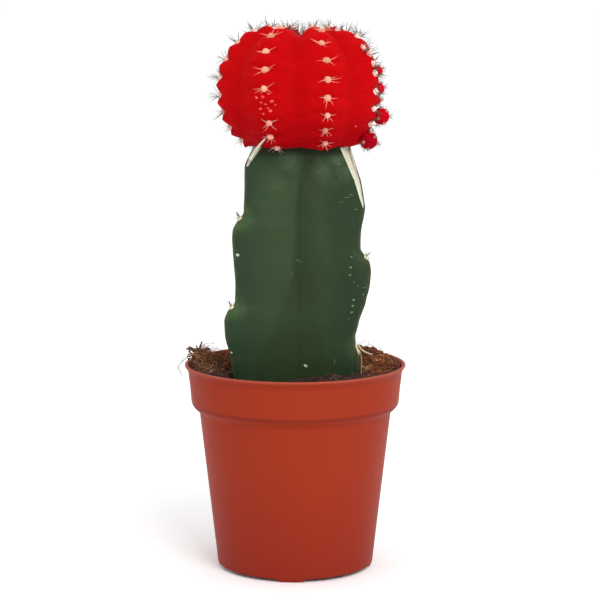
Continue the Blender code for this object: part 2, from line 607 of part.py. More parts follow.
def make_scion():
    surface = ScionSurface()
    ribs = range(len(SCION_RIB_TURNS))
    columns = [(rib, -1.0 + 2.0 * step / SCION_COLUMNS_PER_RIB)
               for rib in ribs for step in range(SCION_COLUMNS_PER_RIB)]
    rows = list(SCION_TOP_ROWS)
    steps = round((SCION_LAST_AREOLE - SCION_FIRST_AREOLE) * SCION_ROWS_PER_PITCH)
    rows += [SCION_FIRST_AREOLE + step / SCION_ROWS_PER_PITCH for step in range(steps + 1)]
    rings = [[at(0.0, 0.0, surface.place(0.0).y, SCION_X)]]
    rings += [[surface.on_rib(rib, across, row) for rib, across in columns] for row in rows]
    last_way = surface.way(rows[-1])
    seat_way = surface.length - SCION_SEAT_RADIUS
    for share in SCION_UNDERSIDE_ROWS:
        way = last_way + (seat_way - last_way) * share
        depth = SCION_VALLEY_DEPTH * (1.0 - share)
        rings.append([surface.point(rib, across, way, depth=depth) for rib, across in columns])
    rings.append([at(0.0, 0.0, surface.place(surface.length).y, SCION_X)])
    scion = new_object("scion", mesh_of("scion", skin(rings)), math.radians(50))
    scion.data.materials.append(plain_material("red_flesh", (0.55, 0.006, 0.01), 0.4))

    growths = []
    for rib in ribs:
        for areole in surface.areoles(rib):
            placing = surface.placing(rib, 0.0, areole)
            growths.append(lump(SCION_CUSHION, placing))
            lengths = SCION_SPINE_LENGTH
            if areole > SCION_LAST_AREOLE - 1.6:
                lengths = [0.6 * length for length in lengths]
            growths += spine_star(placing, SCION_SPINES, lengths, SCION_SPINE_RADIUS, 0.75)
    for index in range(SCION_TUFT_SPINES):
        turn = math.tau * index / SCION_TUFT_SPINES
        foot = at(turn, SCION_TUFT_RADIUS * DRAWS.uniform(0.3, 1.0), 0.0, SCION_X)
        foot.z = surface.place((foot.xy - Vector((SCION_X, 0.0))).length).y
        direction = Vector((0.45 * math.sin(turn), -0.45 * math.cos(turn), 1.0))
        growths.append(spine(foot, direction, DRAWS.uniform(*SCION_SPINE_LENGTH), SCION_SPINE_RADIUS))
    for middle, radius in PUPS:
        middle = Vector(middle) * MM
        placing = placing_on(middle, (middle - PUP_HEART).normalized(), Vector((0, 0, 1)))
        shape = bmesh.new()
        bmesh.ops.create_uvsphere(shape, u_segments=10, v_segments=7, radius=radius)
        bmesh.ops.transform(shape, matrix=placing, verts=shape.verts)
        growths.append(bpy.data.objects.new("pup", mesh_of("pup", shape)))
        for index in range(PUP_SPINES):
            angle = math.tau * index / PUP_SPINES
            heading = Vector((math.cos(angle), math.sin(angle), 0.9)).normalized()
            direction = placing.to_3x3() @ heading
            root = placing.translation + direction * radius * 0.97
            growths.append(spine(root, direction, PUP_SPINE_LENGTH, SCION_SPINE_RADIUS))
    fuse(scion, growths)


empty_scene()
make_pot()
make_soil()
make_stock()
make_scion()
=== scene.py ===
import functools
import math
import random

import bpy
from mathutils import Matrix, Vector, noise
from mathutils.bvhtree import BVHTree


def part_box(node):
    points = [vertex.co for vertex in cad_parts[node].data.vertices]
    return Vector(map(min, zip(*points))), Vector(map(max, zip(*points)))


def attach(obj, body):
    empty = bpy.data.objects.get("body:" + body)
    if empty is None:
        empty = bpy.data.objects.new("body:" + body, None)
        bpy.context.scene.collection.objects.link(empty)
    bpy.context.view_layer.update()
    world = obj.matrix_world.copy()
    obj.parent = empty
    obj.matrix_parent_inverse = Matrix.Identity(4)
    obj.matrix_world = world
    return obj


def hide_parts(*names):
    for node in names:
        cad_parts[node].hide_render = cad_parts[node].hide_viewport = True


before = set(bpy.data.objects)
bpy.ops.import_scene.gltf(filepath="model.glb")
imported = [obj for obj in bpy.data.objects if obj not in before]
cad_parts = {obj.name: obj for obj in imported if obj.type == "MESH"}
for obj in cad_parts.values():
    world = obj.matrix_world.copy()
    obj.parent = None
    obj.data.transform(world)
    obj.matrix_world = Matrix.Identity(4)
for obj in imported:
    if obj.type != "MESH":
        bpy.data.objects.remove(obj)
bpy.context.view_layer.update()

# The camera. It stands about 0.6 m in front of the pot and a little above the plant's top,
# and looks down by eight degrees, as the ellipses of the pot's rim show.
MM = 0.001
FRAME_PIXELS = 600
CAMERA_PLACE = Vector((1.43, -608.7, 165.1)) * MM
CAMERA_DOWN = math.radians(8.05)
CAMERA_LENS = 125.8
CAMERA_SENSOR = 36.0

camera_data = bpy.data.cameras.new("camera")
camera_data.sensor_width = CAMERA_SENSOR
camera_data.lens = CAMERA_LENS
camera_data.clip_start = 0.01
camera = bpy.data.objects.new("camera", camera_data)
camera.location = CAMERA_PLACE
camera.rotation_euler = (math.radians(90) - CAMERA_DOWN, 0.0, 0.0)
bpy.context.scene.collection.objects.link(camera)
bpy.context.scene.camera = camera


def pixel_line(column, row):
    """The direction in which the camera sees a pixel."""
    step = CAMERA_SENSOR / FRAME_PIXELS / CAMERA_LENS
    middle = FRAME_PIXELS / 2
    line = Vector(((column - middle) * step, (middle - row) * step, -1.0))
    line.rotate(camera.rotation_euler)
    return line.normalized()


def pixel_place(column, row, nearness):
    """The place that the camera sees at a pixel, so many millimetres in front of the pot's axis."""
    line = pixel_line(column, row)
    return CAMERA_PLACE + line * ((-nearness * MM - CAMERA_PLACE.y) / line.y)


def seen_on(tree, column, row):
    """The place and normal of a surface where the photograph shows it at a pixel."""
    place, normal, _, _ = tree.ray_cast(CAMERA_PLACE, pixel_line(column, row))
    return place, normal


# The nursery pot. Polypropylene in a terracotta colour, injection-moulded in one piece, with
# a flared lip, a band that stacks on the pot below, and a foot ring with gaps for the water.
POT_STEPS = 192
POT_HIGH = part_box("pot")[1]
LIP_RADIUS = POT_HIGH.x / MM
POT_HEIGHT = POT_HIGH.z / MM
POT_WALL = 1.0
FEET = 4
FOOT_HEIGHT = 0.75
FOOT_TURN = math.radians(-3.0)
FOOT_HALF_SPAN = math.radians(9.0)
FOOT_END = 0.04  # the turn over which a foot's end slopes up
FOOT_FACE_BELOW = 0.35
FLOOR_UNDERSIDE = 1.8
DRAIN_HOLE_RADIUS = 2.8
DRAIN_HOLE_CIRCLE = 14.0
DRILL_LENGTH = 5.0
POT_EDGE_ROUNDING = 0.16
POT_OUT_OF_ROUND = 0.0022
POT_OVAL_TURN = 0.6
# The section as radius and height in millimetres, from under the floor, up, over and in.
POT_OUTLINE = (
    (21.04, FLOOR_UNDERSIDE), (21.04, 0.0), (22.3, 0.0), (22.64, 0.3), (22.98, 1.2),
    (28.12, 45.6), (28.3, 46.3), (28.7, 46.8), (29.25, 47.25), (29.75, 47.7), (30.15, 48.2), (30.42, 48.7),
    (30.55, 49.3), (30.66, 50.0), (30.8, 52.0), (31.02, 54.2), (31.28, 56.2), (31.42, POT_HEIGHT - 2.8),
    (31.5, POT_HEIGHT - 2.2), (31.62, POT_HEIGHT - 1.75), (31.95, POT_HEIGHT - 1.2),
    (32.3, POT_HEIGHT - 0.75), (LIP_RADIUS, POT_HEIGHT - 0.4), (LIP_RADIUS, POT_HEIGHT - 0.15),
    (LIP_RADIUS - 0.15, POT_HEIGHT), (LIP_RADIUS - 0.75, POT_HEIGHT), (31.5, POT_HEIGHT - 0.25),
    (31.4 - POT_WALL, POT_HEIGHT - 2.9), (30.6 - POT_WALL, 49.3), (28.3 - POT_WALL, 46.9),
    (22.98 - POT_WALL, 3.8), (21.18, FLOOR_UNDERSIDE + POT_WALL),
)


def deselect_all():
    if bpy.context.mode != "OBJECT":
        bpy.ops.object.mode_set(mode="OBJECT")
    bpy.ops.object.select_all(action="DESELECT")


def pick(piece):
    """Selects one piece alone and makes it the active one."""
    deselect_all()
    piece.select_set(True)
    bpy.context.view_layer.objects.active = piece


def begin(name):
    """Names the primitive that was just added, which is all selected, and opens it."""
    piece = bpy.context.object
    piece.name = piece.data.name = name
    bpy.ops.object.mode_set(mode="EDIT")
    bpy.ops.mesh.select_all(action="SELECT")
    return piece


def cut_rows(piece, count):
    """Cuts the upright edges of an upright prism or cone, one unit tall, into rows."""
    bpy.ops.mesh.select_mode(type="EDGE")
    bpy.ops.mesh.select_all(action="DESELECT")
    bpy.ops.object.mode_set(mode="OBJECT")
    for edge in piece.data.edges:
        low, high = (piece.data.vertices[corner].co.z for corner in edge.vertices)
        edge.select = abs(low - high) > 0.5
    bpy.ops.object.mode_set(mode="EDIT")
    bpy.ops.mesh.subdivide(number_cuts=count - 1)
    bpy.ops.object.mode_set(mode="OBJECT")


def apply_all(piece):
    """Applies the modifiers of a piece in their order."""
    pick(piece)
    for modifier in list(piece.modifiers):
        bpy.ops.object.modifier_apply(modifier=modifier.name)


def at(turn, radius, height, centre_x=0.0):
    """A point in metres by its turn from the front towards +X, radius and height in millimetres."""
    return Vector((centre_x + radius * math.sin(turn), -radius * math.cos(turn), height)) * MM


def turned(name, outline, steps):
    """A closed turned shape: a disc, extruded ring by ring along an outline and then closed."""
    deselect_all()
    radius, height = outline[0]
    bpy.ops.mesh.primitive_circle_add(vertices=steps, radius=radius * MM, fill_type="NGON")
    piece = begin(name)
    bpy.ops.transform.translate(value=(0, 0, height * MM))
    for next_radius, next_height in outline[1:]:
        bpy.ops.mesh.extrude_region_move()
        wider = next_radius / radius
        bpy.ops.transform.resize(value=(wider, wider, 1.0), center_override=(0, 0, height * MM))
        bpy.ops.transform.translate(value=(0, 0, (next_height - height) * MM))
        radius, height = next_radius, next_height
    bpy.ops.mesh.select_all(action="SELECT")
    bpy.ops.mesh.remove_doubles(threshold=1e-7)
    bpy.ops.mesh.normals_make_consistent(inside=False)
    bpy.ops.object.mode_set(mode="OBJECT")
    return piece


def linear(code):
    """The linear colour of an sRGB hex value."""
    shares = [int(code[place:place + 2], 16) / 255 for place in (1, 3, 5)]
    return [s / 12.92 if s <= 0.04045 else ((s + 0.055) / 1.055) ** 2.4 for s in shares] + [1.0]


def add(material, kind, inputs, **settings):
    """Adds a node. An input is a value, or the output of another node to link."""
    tree = material.node_tree
    made = tree.nodes.new("ShaderNode" + kind)
    for name, value in settings.items():
        setattr(made, name, value)
    for name, value in inputs.items():
        if isinstance(value, bpy.types.NodeSocket):
            tree.links.new(value, made.inputs[name])
        else:
            made.inputs[name].default_value = value
    return made


def material_of(name, **settings):
    """A material whose shader has these settings, by their names with underscores."""
    material = bpy.data.materials.new(name)
    material.use_nodes = True
    shader = material.node_tree.nodes["Principled BSDF"]
    for name, value in settings.items():
        shader.inputs[name.replace("_", " ")].default_value = value
    return material


def feed(material, **links):
    """Links outputs of nodes to the shader's sockets."""
    shader = material.node_tree.nodes["Principled BSDF"]
    for name, output in links.items():
        material.node_tree.links.new(output, shader.inputs[name.replace("_", " ")])


FACTOR, COLOUR_A, COLOUR_B, COLOUR_OUT = 0, 6, 7, 2  # sockets of a Mix node set to colours


def carry(piece, material=None, replaces=None):
    """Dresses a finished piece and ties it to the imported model."""
    if material:
        piece.data.materials.append(material)
    if replaces:
        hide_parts(replaces)
    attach(piece, "root")


pot = turned("nursery_pot", POT_OUTLINE, POT_STEPS)
foot_step = math.tau / FEET
for vertex in pot.data.vertices:
    turn = math.atan2(vertex.co.x, -vertex.co.y)
    if vertex.co.z < FOOT_FACE_BELOW * MM:
        off_foot = abs((turn - FOOT_TURN + foot_step / 2) % foot_step - foot_step / 2) - FOOT_HALF_SPAN
        if off_foot > 0.0:
            vertex.co.z += FOOT_HEIGHT * MM * min(off_foot / FOOT_END, 1.0)
    wobble = 1.0 + POT_OUT_OF_ROUND * math.sin(2 * turn + POT_OVAL_TURN) * (vertex.co.z / POT_HIGH.z) ** 2
    vertex.co.xy *= wobble
drills = []
for index in range(FEET):
    deselect_all()
    spot = at(FOOT_TURN + (index + 0.5) * foot_step, DRAIN_HOLE_CIRCLE, FLOOR_UNDERSIDE)
    bpy.ops.mesh.primitive_cylinder_add(vertices=40, radius=DRAIN_HOLE_RADIUS * MM, depth=DRILL_LENGTH * MM,
                                        location=spot)
    drills.append(bpy.context.object)
    hole = pot.modifiers.new("drain_hole", "BOOLEAN")
    hole.operation = "DIFFERENCE"
    hole.object = drills[-1]
rounding = pot.modifiers.new("rounding", "BEVEL")
rounding.width = POT_EDGE_ROUNDING * MM
rounding.segments = 3
rounding.limit_method = "ANGLE"
rounding.angle_limit = math.radians(24)
apply_all(pot)
for drill in drills:
    bpy.data.objects.remove(drill, do_unlink=True)
bpy.ops.object.shade_smooth_by_angle(angle=math.radians(30))

# Moulded polypropylene: satin and even in colour, darker towards the foot with painted shade, with a painted
# highlight along the thin top of the lip, and painted shade below the lip's flare and in the band's crease.
POT_COLOUR = "#8E2C16"
POT_SHADED_FOOT = "#832416"
POT_PALE = "#B06A58"
POT_PAINTED_SHADE = "#6A1E14"
PEEL_MM = 0.7  # the mould's texture, drawn coarser than it is so that it shows
# Where painted shade lies: its height, how far it reaches, where it is darkest, and how dark.
POT_SHADE_LINES = ((48.7, 0.95, 0.1, 0.6), (POT_HEIGHT - 1.9, 0.9, 0.4, 0.2))
polypropylene = material_of("moulded_polypropylene", Roughness=0.5, IOR=1.49, Specular_IOR_Level=0.08)
coords = add(polypropylene, "TexCoord", {}).outputs["Object"]
height = add(polypropylene, "SeparateXYZ", {"Vector": coords}).outputs["Z"]
cloud = add(polypropylene, "TexNoise", {"Vector": coords, "Scale": 1 / (30 * MM), "Detail": 2.0})
uneven = add(polypropylene, "Math", {0: cloud.outputs["Fac"], 1: 20 * MM, 2: height},
             operation="MULTIPLY_ADD")
# darker towards the foot: painted shade, broken up by clouds
rise = add(polypropylene, "MapRange", {"Value": uneven.outputs[0], "From Min": 5 * MM, "From Max": 42 * MM})
# a painted highlight along the thin top of the lip
lip_highlight = add(polypropylene, "MapRange", {"Value": height, "From Min": (POT_HEIGHT - 0.9) * MM,
                                       "From Max": (POT_HEIGHT - 0.1) * MM, "To Max": 0.3})
# painted shade in lines under the lip's flare and in the band's crease
shade_lines = []
for level, reach, thickest, strength in POT_SHADE_LINES:
    way = add(polypropylene, "Math", {0: height, 1: -level * MM}, operation="ADD")
    off = add(polypropylene, "Math", {0: way.outputs[0]}, operation="ABSOLUTE")
    shade_lines.append(add(polypropylene, "MapRange", {"Value": off.outputs[0], "From Min": reach * MM,
                                                 "From Max": thickest * MM, "To Max": strength},
                     interpolation_type="SMOOTHSTEP").outputs[0])
line_shade = add(polypropylene, "Math", {0: shade_lines[0], 1: shade_lines[1]}, operation="ADD")
rub = add(polypropylene, "TexNoise", {"Vector": coords, "Scale": 1 / (5 * MM), "Detail": 8.0,
                                      "Roughness": 0.75})
rubbed = add(polypropylene, "MapRange", {"Value": rub.outputs["Fac"], "From Min": 0.66, "From Max": 0.8,
                                         "To Max": 0.12})
colour = linear(POT_SHADED_FOOT)
for share, tone in ((rise, POT_COLOUR), (lip_highlight, POT_PALE), (line_shade, POT_PAINTED_SHADE), (rubbed, POT_PALE)):
    colour = add(polypropylene, "Mix", {FACTOR: share.outputs[0], COLOUR_A: colour, COLOUR_B: linear(tone)},
                 data_type="RGBA").outputs[COLOUR_OUT]
gloss = add(polypropylene, "MapRange", {"Value": rub.outputs["Fac"], "From Min": 0.3, "From Max": 0.8,
                                        "To Min": 0.46, "To Max": 0.58})
peel = add(polypropylene, "TexNoise", {"Vector": coords, "Scale": 1 / (PEEL_MM * MM), "Detail": 2.0})
relief = add(polypropylene, "Bump", {"Height": peel.outputs["Fac"], "Strength": 0.1, "Distance": 0.04 * MM})
feed(polypropylene, Base_Color=colour, Roughness=gloss.outputs[0], Normal=relief.outputs[0])
carry(pot, polypropylene, "pot")


# The stock. One cut length of a three-ribbed climbing cactus, rooted in the mix, with two
# ribs towards the front. Its rib corners were sliced off at grafting and have dried pale.
STOCK_X = 1.0
STOCK_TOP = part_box("rootstock")[1].z / MM
STOCK_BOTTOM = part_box("rootstock")[0].z / MM
STOCK_SIDES = 120
STOCK_ROWS = 180
STOCK_RIB_TURNS = (math.radians(-60.0), math.radians(60.0), math.radians(180.0))
# Each rib's edge, as height and reach from the stock's axis in millimetres, read upwards.
STOCK_EDGES = (
    ((40, 20.5), (56, 21.6), (64, 22.9), (70, 24.6), (75, 24.9), (77.6, 23.6), (79.2, 21.0),
     (85, 20.9), (92, 21.6), (98, 22.1), (101, 21.9), (103.2, 20.4), (105, 18.1), (113, 17.75), (126, 17.5)),
    ((40, 19.8), (57, 20.4), (63, 20.3), (67.5, 19.0), (69.5, 18.7), (74, 20.0), (80, 22.4),
     (85, 23.7), (88.5, 24.2), (91, 24.0), (93, 22.9), (94.6, 20.5), (99.5, 20.5), (107, 22.1), (115, 22.4),
     (126, 22.4)),
    ((40, 20.0), (56, 21.4), (64, 22.6), (71, 23.6), (75, 22.6), (76.6, 20.4), (84, 20.8),
     (92, 22.4), (98, 22.8), (101, 21.8), (102.8, 19.8), (110, 19.6), (126, 19.4)),
)
STOCK_AREOLES = (
    ((78.4, 22.2), (104.0, 19.5)),
    ((66.6, 18.9), (92.9, 22.3)),
    ((75.8, 21.6), (101.9, 20.8)),
)
STOCK_VALLEY = 0.40
STOCK_EDGE_SHARPNESS = 5.0
STOCK_EDGE_BLEND = 14
# Each rib's slice, as one cut or two: the turn that the cut faces, the height where it leaves
# the rib's edge or the cut below, and how far it leans in for each millimetre of height.
STOCK_SLICES = (
    ((math.radians(-69.0), 118.5, 0.71),),
    ((math.radians(65.0), 106.0, 0.27), (math.radians(65.0), 114.5, 0.43)),
    ((math.radians(180.0), 113.0, 0.66),),
)
SLICE_DEPTH = 0.3
RIM_INSET = 0.97
TISSUE_INSET = 0.95
STOCK_LUMPS = ((0.22, 11.0), (0.05, 2.5))  # how tall and how wide
# The band of painted shade beside the front valley: the height and where the band starts and fades, as X.
STOCK_FRONT_VALLEY = ((58.0, -12.0, 8.0), (66.0, -9.7, 7.0), (71.8, -6.8, 6.0), (83.4, -1.9, 4.0),
                      (89.0, -1.2, 3.4), (98.0, -0.6, 3.8), (106.5, -0.4, 3.8), (115.0, 1.0, 3.8),
                      (121.5, 2.0, 4.2))
BAND_EDGE = 1.8  # how wide its sharp left edge is
BAND_EDGE_AHEAD = 0.5
BAND_FADE = 3.0
BAND_PALER_BELOW = 86.0
BAND_PALER_OVER = 12.0
BACK_SHADE = 0.3
# Paler patches of skin, partly painted highlight: their strength at the areoles of each rib and their
# size, and then some more, most of them under the ball, as pixels with their size and strength.
AREOLE_PATCHES = (0.75, 0.45, 0.6)
AREOLE_PATCH_SIZE = 7.0
STOCK_PALE_PATCHES = ((291.0, 160.0, 5.5, 0.75), (338.0, 160.0, 5.0, 0.8), (280.0, 185.0, 8.0, 0.35),
                      (262.0, 205.0, 7.0, 0.3), (346.0, 335.0, 5.0, 0.2), (346.0, 172.0, 6.0, 0.7),
                      (324.0, 170.0, 7.0, 0.6), (334.0, 182.0, 7.0, 0.4))


def clamp(value):
    """A value held between nought and one."""
    return min(max(value, 0.0), 1.0)


def between(table, value):
    """The two rows of a table that a value lies between, and its share of the way."""
    value = min(max(value, table[0][0]), table[-1][0])
    low, high = next(pair for pair in zip(table, table[1:]) if value <= pair[1][0])
    return low, high, (value - low[0]) / (high[0] - low[0])


def read_off(table, value):
    """A row of a table at a value between its first numbers."""
    low, high, share = between(table, value)
    return [first + (second - first) * share for first, second in zip(low[1:], high[1:])]


@functools.lru_cache(maxsize=None)
def rib_reach(rib, height):
    """How far a rib reaches, smoothed over a millimetre and a half."""
    total = 0.0
    for shift in (-0.75, -0.375, 0.0, 0.375, 0.75):
        (_, r0), (_, r1), share = between(STOCK_EDGES[rib], height + shift)
        total += r0 + (r1 - r0) * (0.5 * share + 0.5 * share * share * (3 - 2 * share))
    return total / 5


def stock_point(share, height):
    """A point on the stock, by the share of the way round it and the height, and how near it is to
    a rib's edge."""
    half = math.radians(60.0)
    sector, within = divmod(share % 1.0 * 3, 1.0)
    turn = 2 * half * within
    nearest = int(sector) if turn <= half else (int(sector) + 1) % 3
    away = min(turn, 2 * half - turn)
    reach = rib_reach(nearest, height)
    valley = STOCK_VALLEY * sum(rib_reach(rib, height) for rib in range(3)) / 3
    sharp = reach + STOCK_EDGE_SHARPNESS
    flank = sharp * valley * math.sin(half) / (sharp * math.sin(away) + valley * math.sin(half - away))
    radius = (flank**-STOCK_EDGE_BLEND + reach**-STOCK_EDGE_BLEND) ** (-1 / STOCK_EDGE_BLEND)
    return at(STOCK_RIB_TURNS[0] + sector * 2 * half + turn, radius, height, STOCK_X), 1 - away / half


def measure(piece, name, values):
    """Keeps a number for each vertex, which the piece's material reads."""
    piece.data.attributes.new(name, "FLOAT", "POINT").data.foreach_set("value", values)


deselect_all()
bpy.ops.mesh.primitive_cylinder_add(vertices=STOCK_SIDES, radius=20 * MM, depth=1.0, end_fill_type="NGON")
stock = begin("stock")
cut_rows(stock, STOCK_ROWS)
for vertex in stock.data.vertices:
    share = (math.atan2(vertex.co.x, -vertex.co.y) - STOCK_RIB_TURNS[0]) / math.tau
    height = STOCK_BOTTOM + (STOCK_TOP - STOCK_BOTTOM) * (vertex.co.z + 0.5)
    place, _ = stock_point(round(share * STOCK_SIDES) / STOCK_SIDES, height)
    swell = sum(tall * MM * noise.noise(place / (wide * MM)) for tall, wide in STOCK_LUMPS)
    outwards = Vector((place.x - STOCK_X * MM, place.y, 0.0)).normalized()
    vertex.co = place + outwards * swell

# Each slice leaves a flat face: its rim is skin, and the tissue inside has sunk a little.
DRIED, RIM = 1, 2  # the slots of the materials below, after the skin's
for rib, cuts in enumerate(STOCK_SLICES):
    planes = []
    for facing_turn, low_height, lean in cuts:
        faced = at(facing_turn, 1.0, 0.0) / MM
        if planes:
            risen = (low_height - height) * MM
            low = low + Vector((0, 0, risen)) - faced * risen * last_lean
        else:
            low = at(STOCK_RIB_TURNS[rib], rib_reach(rib, low_height), low_height, STOCK_X)
        outwards = (faced + Vector((0, 0, lean))).normalized()
        planes.append((low, outwards))
        height, last_lean = low_height, lean
        bpy.ops.object.mode_set(mode="EDIT")
        bpy.ops.mesh.select_mode(type="FACE")
        bpy.ops.mesh.select_all(action="SELECT")
        bpy.ops.mesh.bisect(plane_co=low, plane_no=outwards, use_fill=True, clear_outer=True)
        bpy.ops.mesh.select_all(action="DESELECT")
        bpy.ops.object.mode_set(mode="OBJECT")
    for face in stock.data.polygons:
        face.select = any(
            face.normal.dot(normal) > 0.999 and abs((face.center - start).dot(normal)) < 0.02 * MM
            for start, normal in planes)
    centres = [face.center for face in stock.data.polygons if face.select]
    middle = sum(centres, Vector()) / len(centres)
    for inset, sunk, kind in ((RIM_INSET, 0.0, RIM), (TISSUE_INSET, SLICE_DEPTH, DRIED)):
        bpy.ops.object.mode_set(mode="EDIT")
        bpy.ops.mesh.extrude_region_move()
        bpy.ops.transform.resize(value=(inset, inset, inset), center_override=middle)
        bpy.ops.transform.translate(value=-outwards * sunk * MM)
        bpy.ops.object.mode_set(mode="OBJECT")
        for face in stock.data.polygons:
            if face.select:
                face.material_index = kind
pick(stock)
bpy.ops.object.shade_smooth_by_angle(angle=math.radians(35))
stock_tree = BVHTree.FromObject(stock, bpy.context.evaluated_depsgraph_get())


def band_shade(x, height):
    """How much of the dark band's tone the skin has at a place in front, in millimetres."""
    left, right = read_off(STOCK_FRONT_VALLEY, height)
    edge = clamp((x - left + BAND_EDGE_AHEAD) / BAND_EDGE)
    beyond = clamp((x - right) / BAND_FADE)
    low = clamp((BAND_PALER_BELOW - height) / BAND_PALER_OVER)
    return edge * edge * (3.0 - 2.0 * edge) * (1.0 - 0.55 * beyond) * (1.0 - 0.4 * low)


margins, notches, shades = [], [], []
pale_places = [(at(turn, reach, height, STOCK_X), AREOLE_PATCH_SIZE, strength)
               for turn, areoles, strength in zip(STOCK_RIB_TURNS, STOCK_AREOLES, AREOLE_PATCHES)
               for height, reach in areoles]
pale_places += [(seen_on(stock_tree, column, row)[0], size, strength)
                for column, row, size, strength in STOCK_PALE_PATCHES]
for vertex in stock.data.vertices:
    turn = math.atan2(vertex.co.x - STOCK_X * MM, -vertex.co.y)
    _, margin = stock_point((turn - STOCK_RIB_TURNS[0]) / math.tau, vertex.co.z / MM)
    margins.append(margin)
    notches.append(max(strength * max(0.0, 1.0 - (vertex.co - place).length / (size * MM))
                       for place, size, strength in pale_places))
    front = abs(turn) < STOCK_RIB_TURNS[1]
    shades.append(band_shade(vertex.co.x / MM, vertex.co.z / MM) if front else BACK_SHADE)
measure(stock, "margin", margins)
measure(stock, "notch", notches)
measure(stock, "shade", shades)

# Stem skin: a thick waxy cuticle over deep green, with bluish painted shade in the valleys and at the rib
# shoulders, a painted highlight in vertical clouds at the top, yellower patches round the areoles and paler
# ones under the ball that are partly painted highlight, painted shade by the front valley and under the ball,
# fine pores and corky rib edges.
STEM_GREEN = "#2A3A22"
STEM_DARK = "#2A3C23"
STEM_TOP_HIGHLIGHT = "#364830"
STEM_BLUE_SHADE = "#223424"
STEM_PALE = "#4D6638"
STEM_BLOOM_AND_HIGHLIGHT = "#4E6048"
STEM_CORK = "#54553F"
STEM_PORE = "#5E7054"
STEM_BALL_SHADOW = "#16120A"  # painted shadow that the ball casts on the stock's top
STEM_BAND = "#E6DCD9"  # what the shaded band keeps of the light
PORE_MM = 0.8  # the pores are finer, and are drawn this coarse so that they show
skin = material_of("waxy_stem_skin", IOR=1.42, Specular_IOR_Level=0.1, Coat_Weight=0.02,
                   Coat_Roughness=0.3, Subsurface_Weight=0.05, Subsurface_Scale=1.0 * MM)
coords = add(skin, "TexCoord", {}).outputs["Object"]
height = add(skin, "SeparateXYZ", {"Vector": coords}).outputs["Z"]
margin = add(skin, "Attribute", {}, attribute_name="margin").outputs["Fac"]
notch = add(skin, "Attribute", {}, attribute_name="notch").outputs["Fac"]
shade = add(skin, "Attribute", {}, attribute_name="shade").outputs["Fac"]
grain = add(skin, "TexNoise", {"Vector": coords, "Scale": 1 / (1.8 * MM), "Detail": 7.0, "Roughness": 0.68})
up = add(skin, "MapRange", {"Value": height, "From Min": 58 * MM, "From Max": 112 * MM})
tall = add(skin, "Mapping", {"Vector": coords, "Scale": (1.0, 1.0, 0.4)})
cloud = add(skin, "TexNoise", {"Vector": tall.outputs[0], "Scale": 1 / (6 * MM), "Detail": 4.0,
                               "Roughness": 0.5})
clouded = add(skin, "MapRange", {"Value": cloud.outputs["Fac"], "From Min": 0.2, "From Max": 0.8})
# a painted highlight at the top, in vertical clouds
upper_highlight = add(skin, "MapRange", {"Value": height, "From Min": 70 * MM, "From Max": 122 * MM, "To Min": 0.25})
top_highlight = add(skin, "Math", {0: upper_highlight.outputs[0], 1: clouded.outputs[0]}, operation="MULTIPLY")
# bluish painted shade in the valleys
deep_shade = add(skin, "MapRange", {"Value": margin, "From Min": 0.16, "From Max": 0.02, "To Max": 0.25},
           interpolation_type="SMOOTHSTEP")
# paler patches, partly painted highlight
near = add(skin, "Math", {0: grain.outputs["Fac"], 1: notch}, operation="MULTIPLY")
warm = add(skin, "MapRange", {"Value": near.outputs[0], "From Min": 0.1, "From Max": 0.42, "To Max": 0.85})
bloom_and_highlight = add(skin, "MapRange", {"Value": height, "From Min": 106 * MM, "From Max": 114 * MM})
paler = add(skin, "Mix", {FACTOR: bloom_and_highlight.outputs[0], COLOUR_A: linear(STEM_PALE),
                          COLOUR_B: linear(STEM_BLOOM_AND_HIGHLIGHT)}, data_type="RGBA")
# bluish painted shade along the rib shoulders, except on the pale patches
shoulder = add(skin, "MapRange", {"Value": margin, "From Min": 0.62, "From Max": 0.86, "To Max": 0.55})
unpatched = add(skin, "Math", {0: 1.0, 1: notch}, operation="SUBTRACT")
dimmed = add(skin, "Math", {0: shoulder.outputs[0], 1: unpatched.outputs[0]}, operation="MULTIPLY")
ragged = add(skin, "Math", {0: grain.outputs["Fac"], 1: 0.2, 2: margin}, operation="MULTIPLY_ADD")
corky = add(skin, "MapRange", {"Value": ragged.outputs[0], "From Min": 1.05, "From Max": 1.12, "To Max": 0.6})
# painted shadow that the ball casts on the stock's top
ball_shadow = add(skin, "MapRange", {"Value": height, "From Min": 121.0 * MM, "From Max": 123.6 * MM,
                                 "To Max": 0.8}, interpolation_type="SMOOTHSTEP")
pores = add(skin, "TexVoronoi", {"Vector": coords, "Scale": 1 / (PORE_MM * MM), "Randomness": 0.9})
pore = add(skin, "MapRange", {"Value": pores.outputs["Distance"], "From Min": 0.14, "From Max": 0.02,
                              "To Max": 0.3})
colour = linear(STEM_DARK)
for share, tone, blending in (
        (up.outputs[0], linear(STEM_GREEN), "MIX"), (top_highlight.outputs[0], linear(STEM_TOP_HIGHLIGHT), "MIX"),
        (deep_shade.outputs[0], linear(STEM_BLUE_SHADE), "MIX"), (warm.outputs[0], paler.outputs[COLOUR_OUT], "MIX"),
        (dimmed.outputs[0], linear(STEM_BLUE_SHADE), "MIX"), (corky.outputs[0], linear(STEM_CORK), "MIX"),
        (shade, linear(STEM_BAND), "MULTIPLY"), (ball_shadow.outputs[0], linear(STEM_BALL_SHADOW), "MIX"),
        (pore.outputs[0], linear(STEM_PORE), "MIX")):
    colour = add(skin, "Mix", {FACTOR: share, COLOUR_A: colour, COLOUR_B: tone}, data_type="RGBA",
                 blend_type=blending).outputs[COLOUR_OUT]
gloss = add(skin, "MapRange", {"Value": grain.outputs["Fac"], "From Min": 0.3, "From Max": 0.7,
                               "To Min": 0.36, "To Max": 0.52})
relief = add(skin, "Bump", {"Height": grain.outputs["Fac"], "Strength": 0.3, "Distance": 0.15 * MM})
feed(skin, Base_Color=colour, Roughness=gloss.outputs[0], Normal=relief.outputs[0])

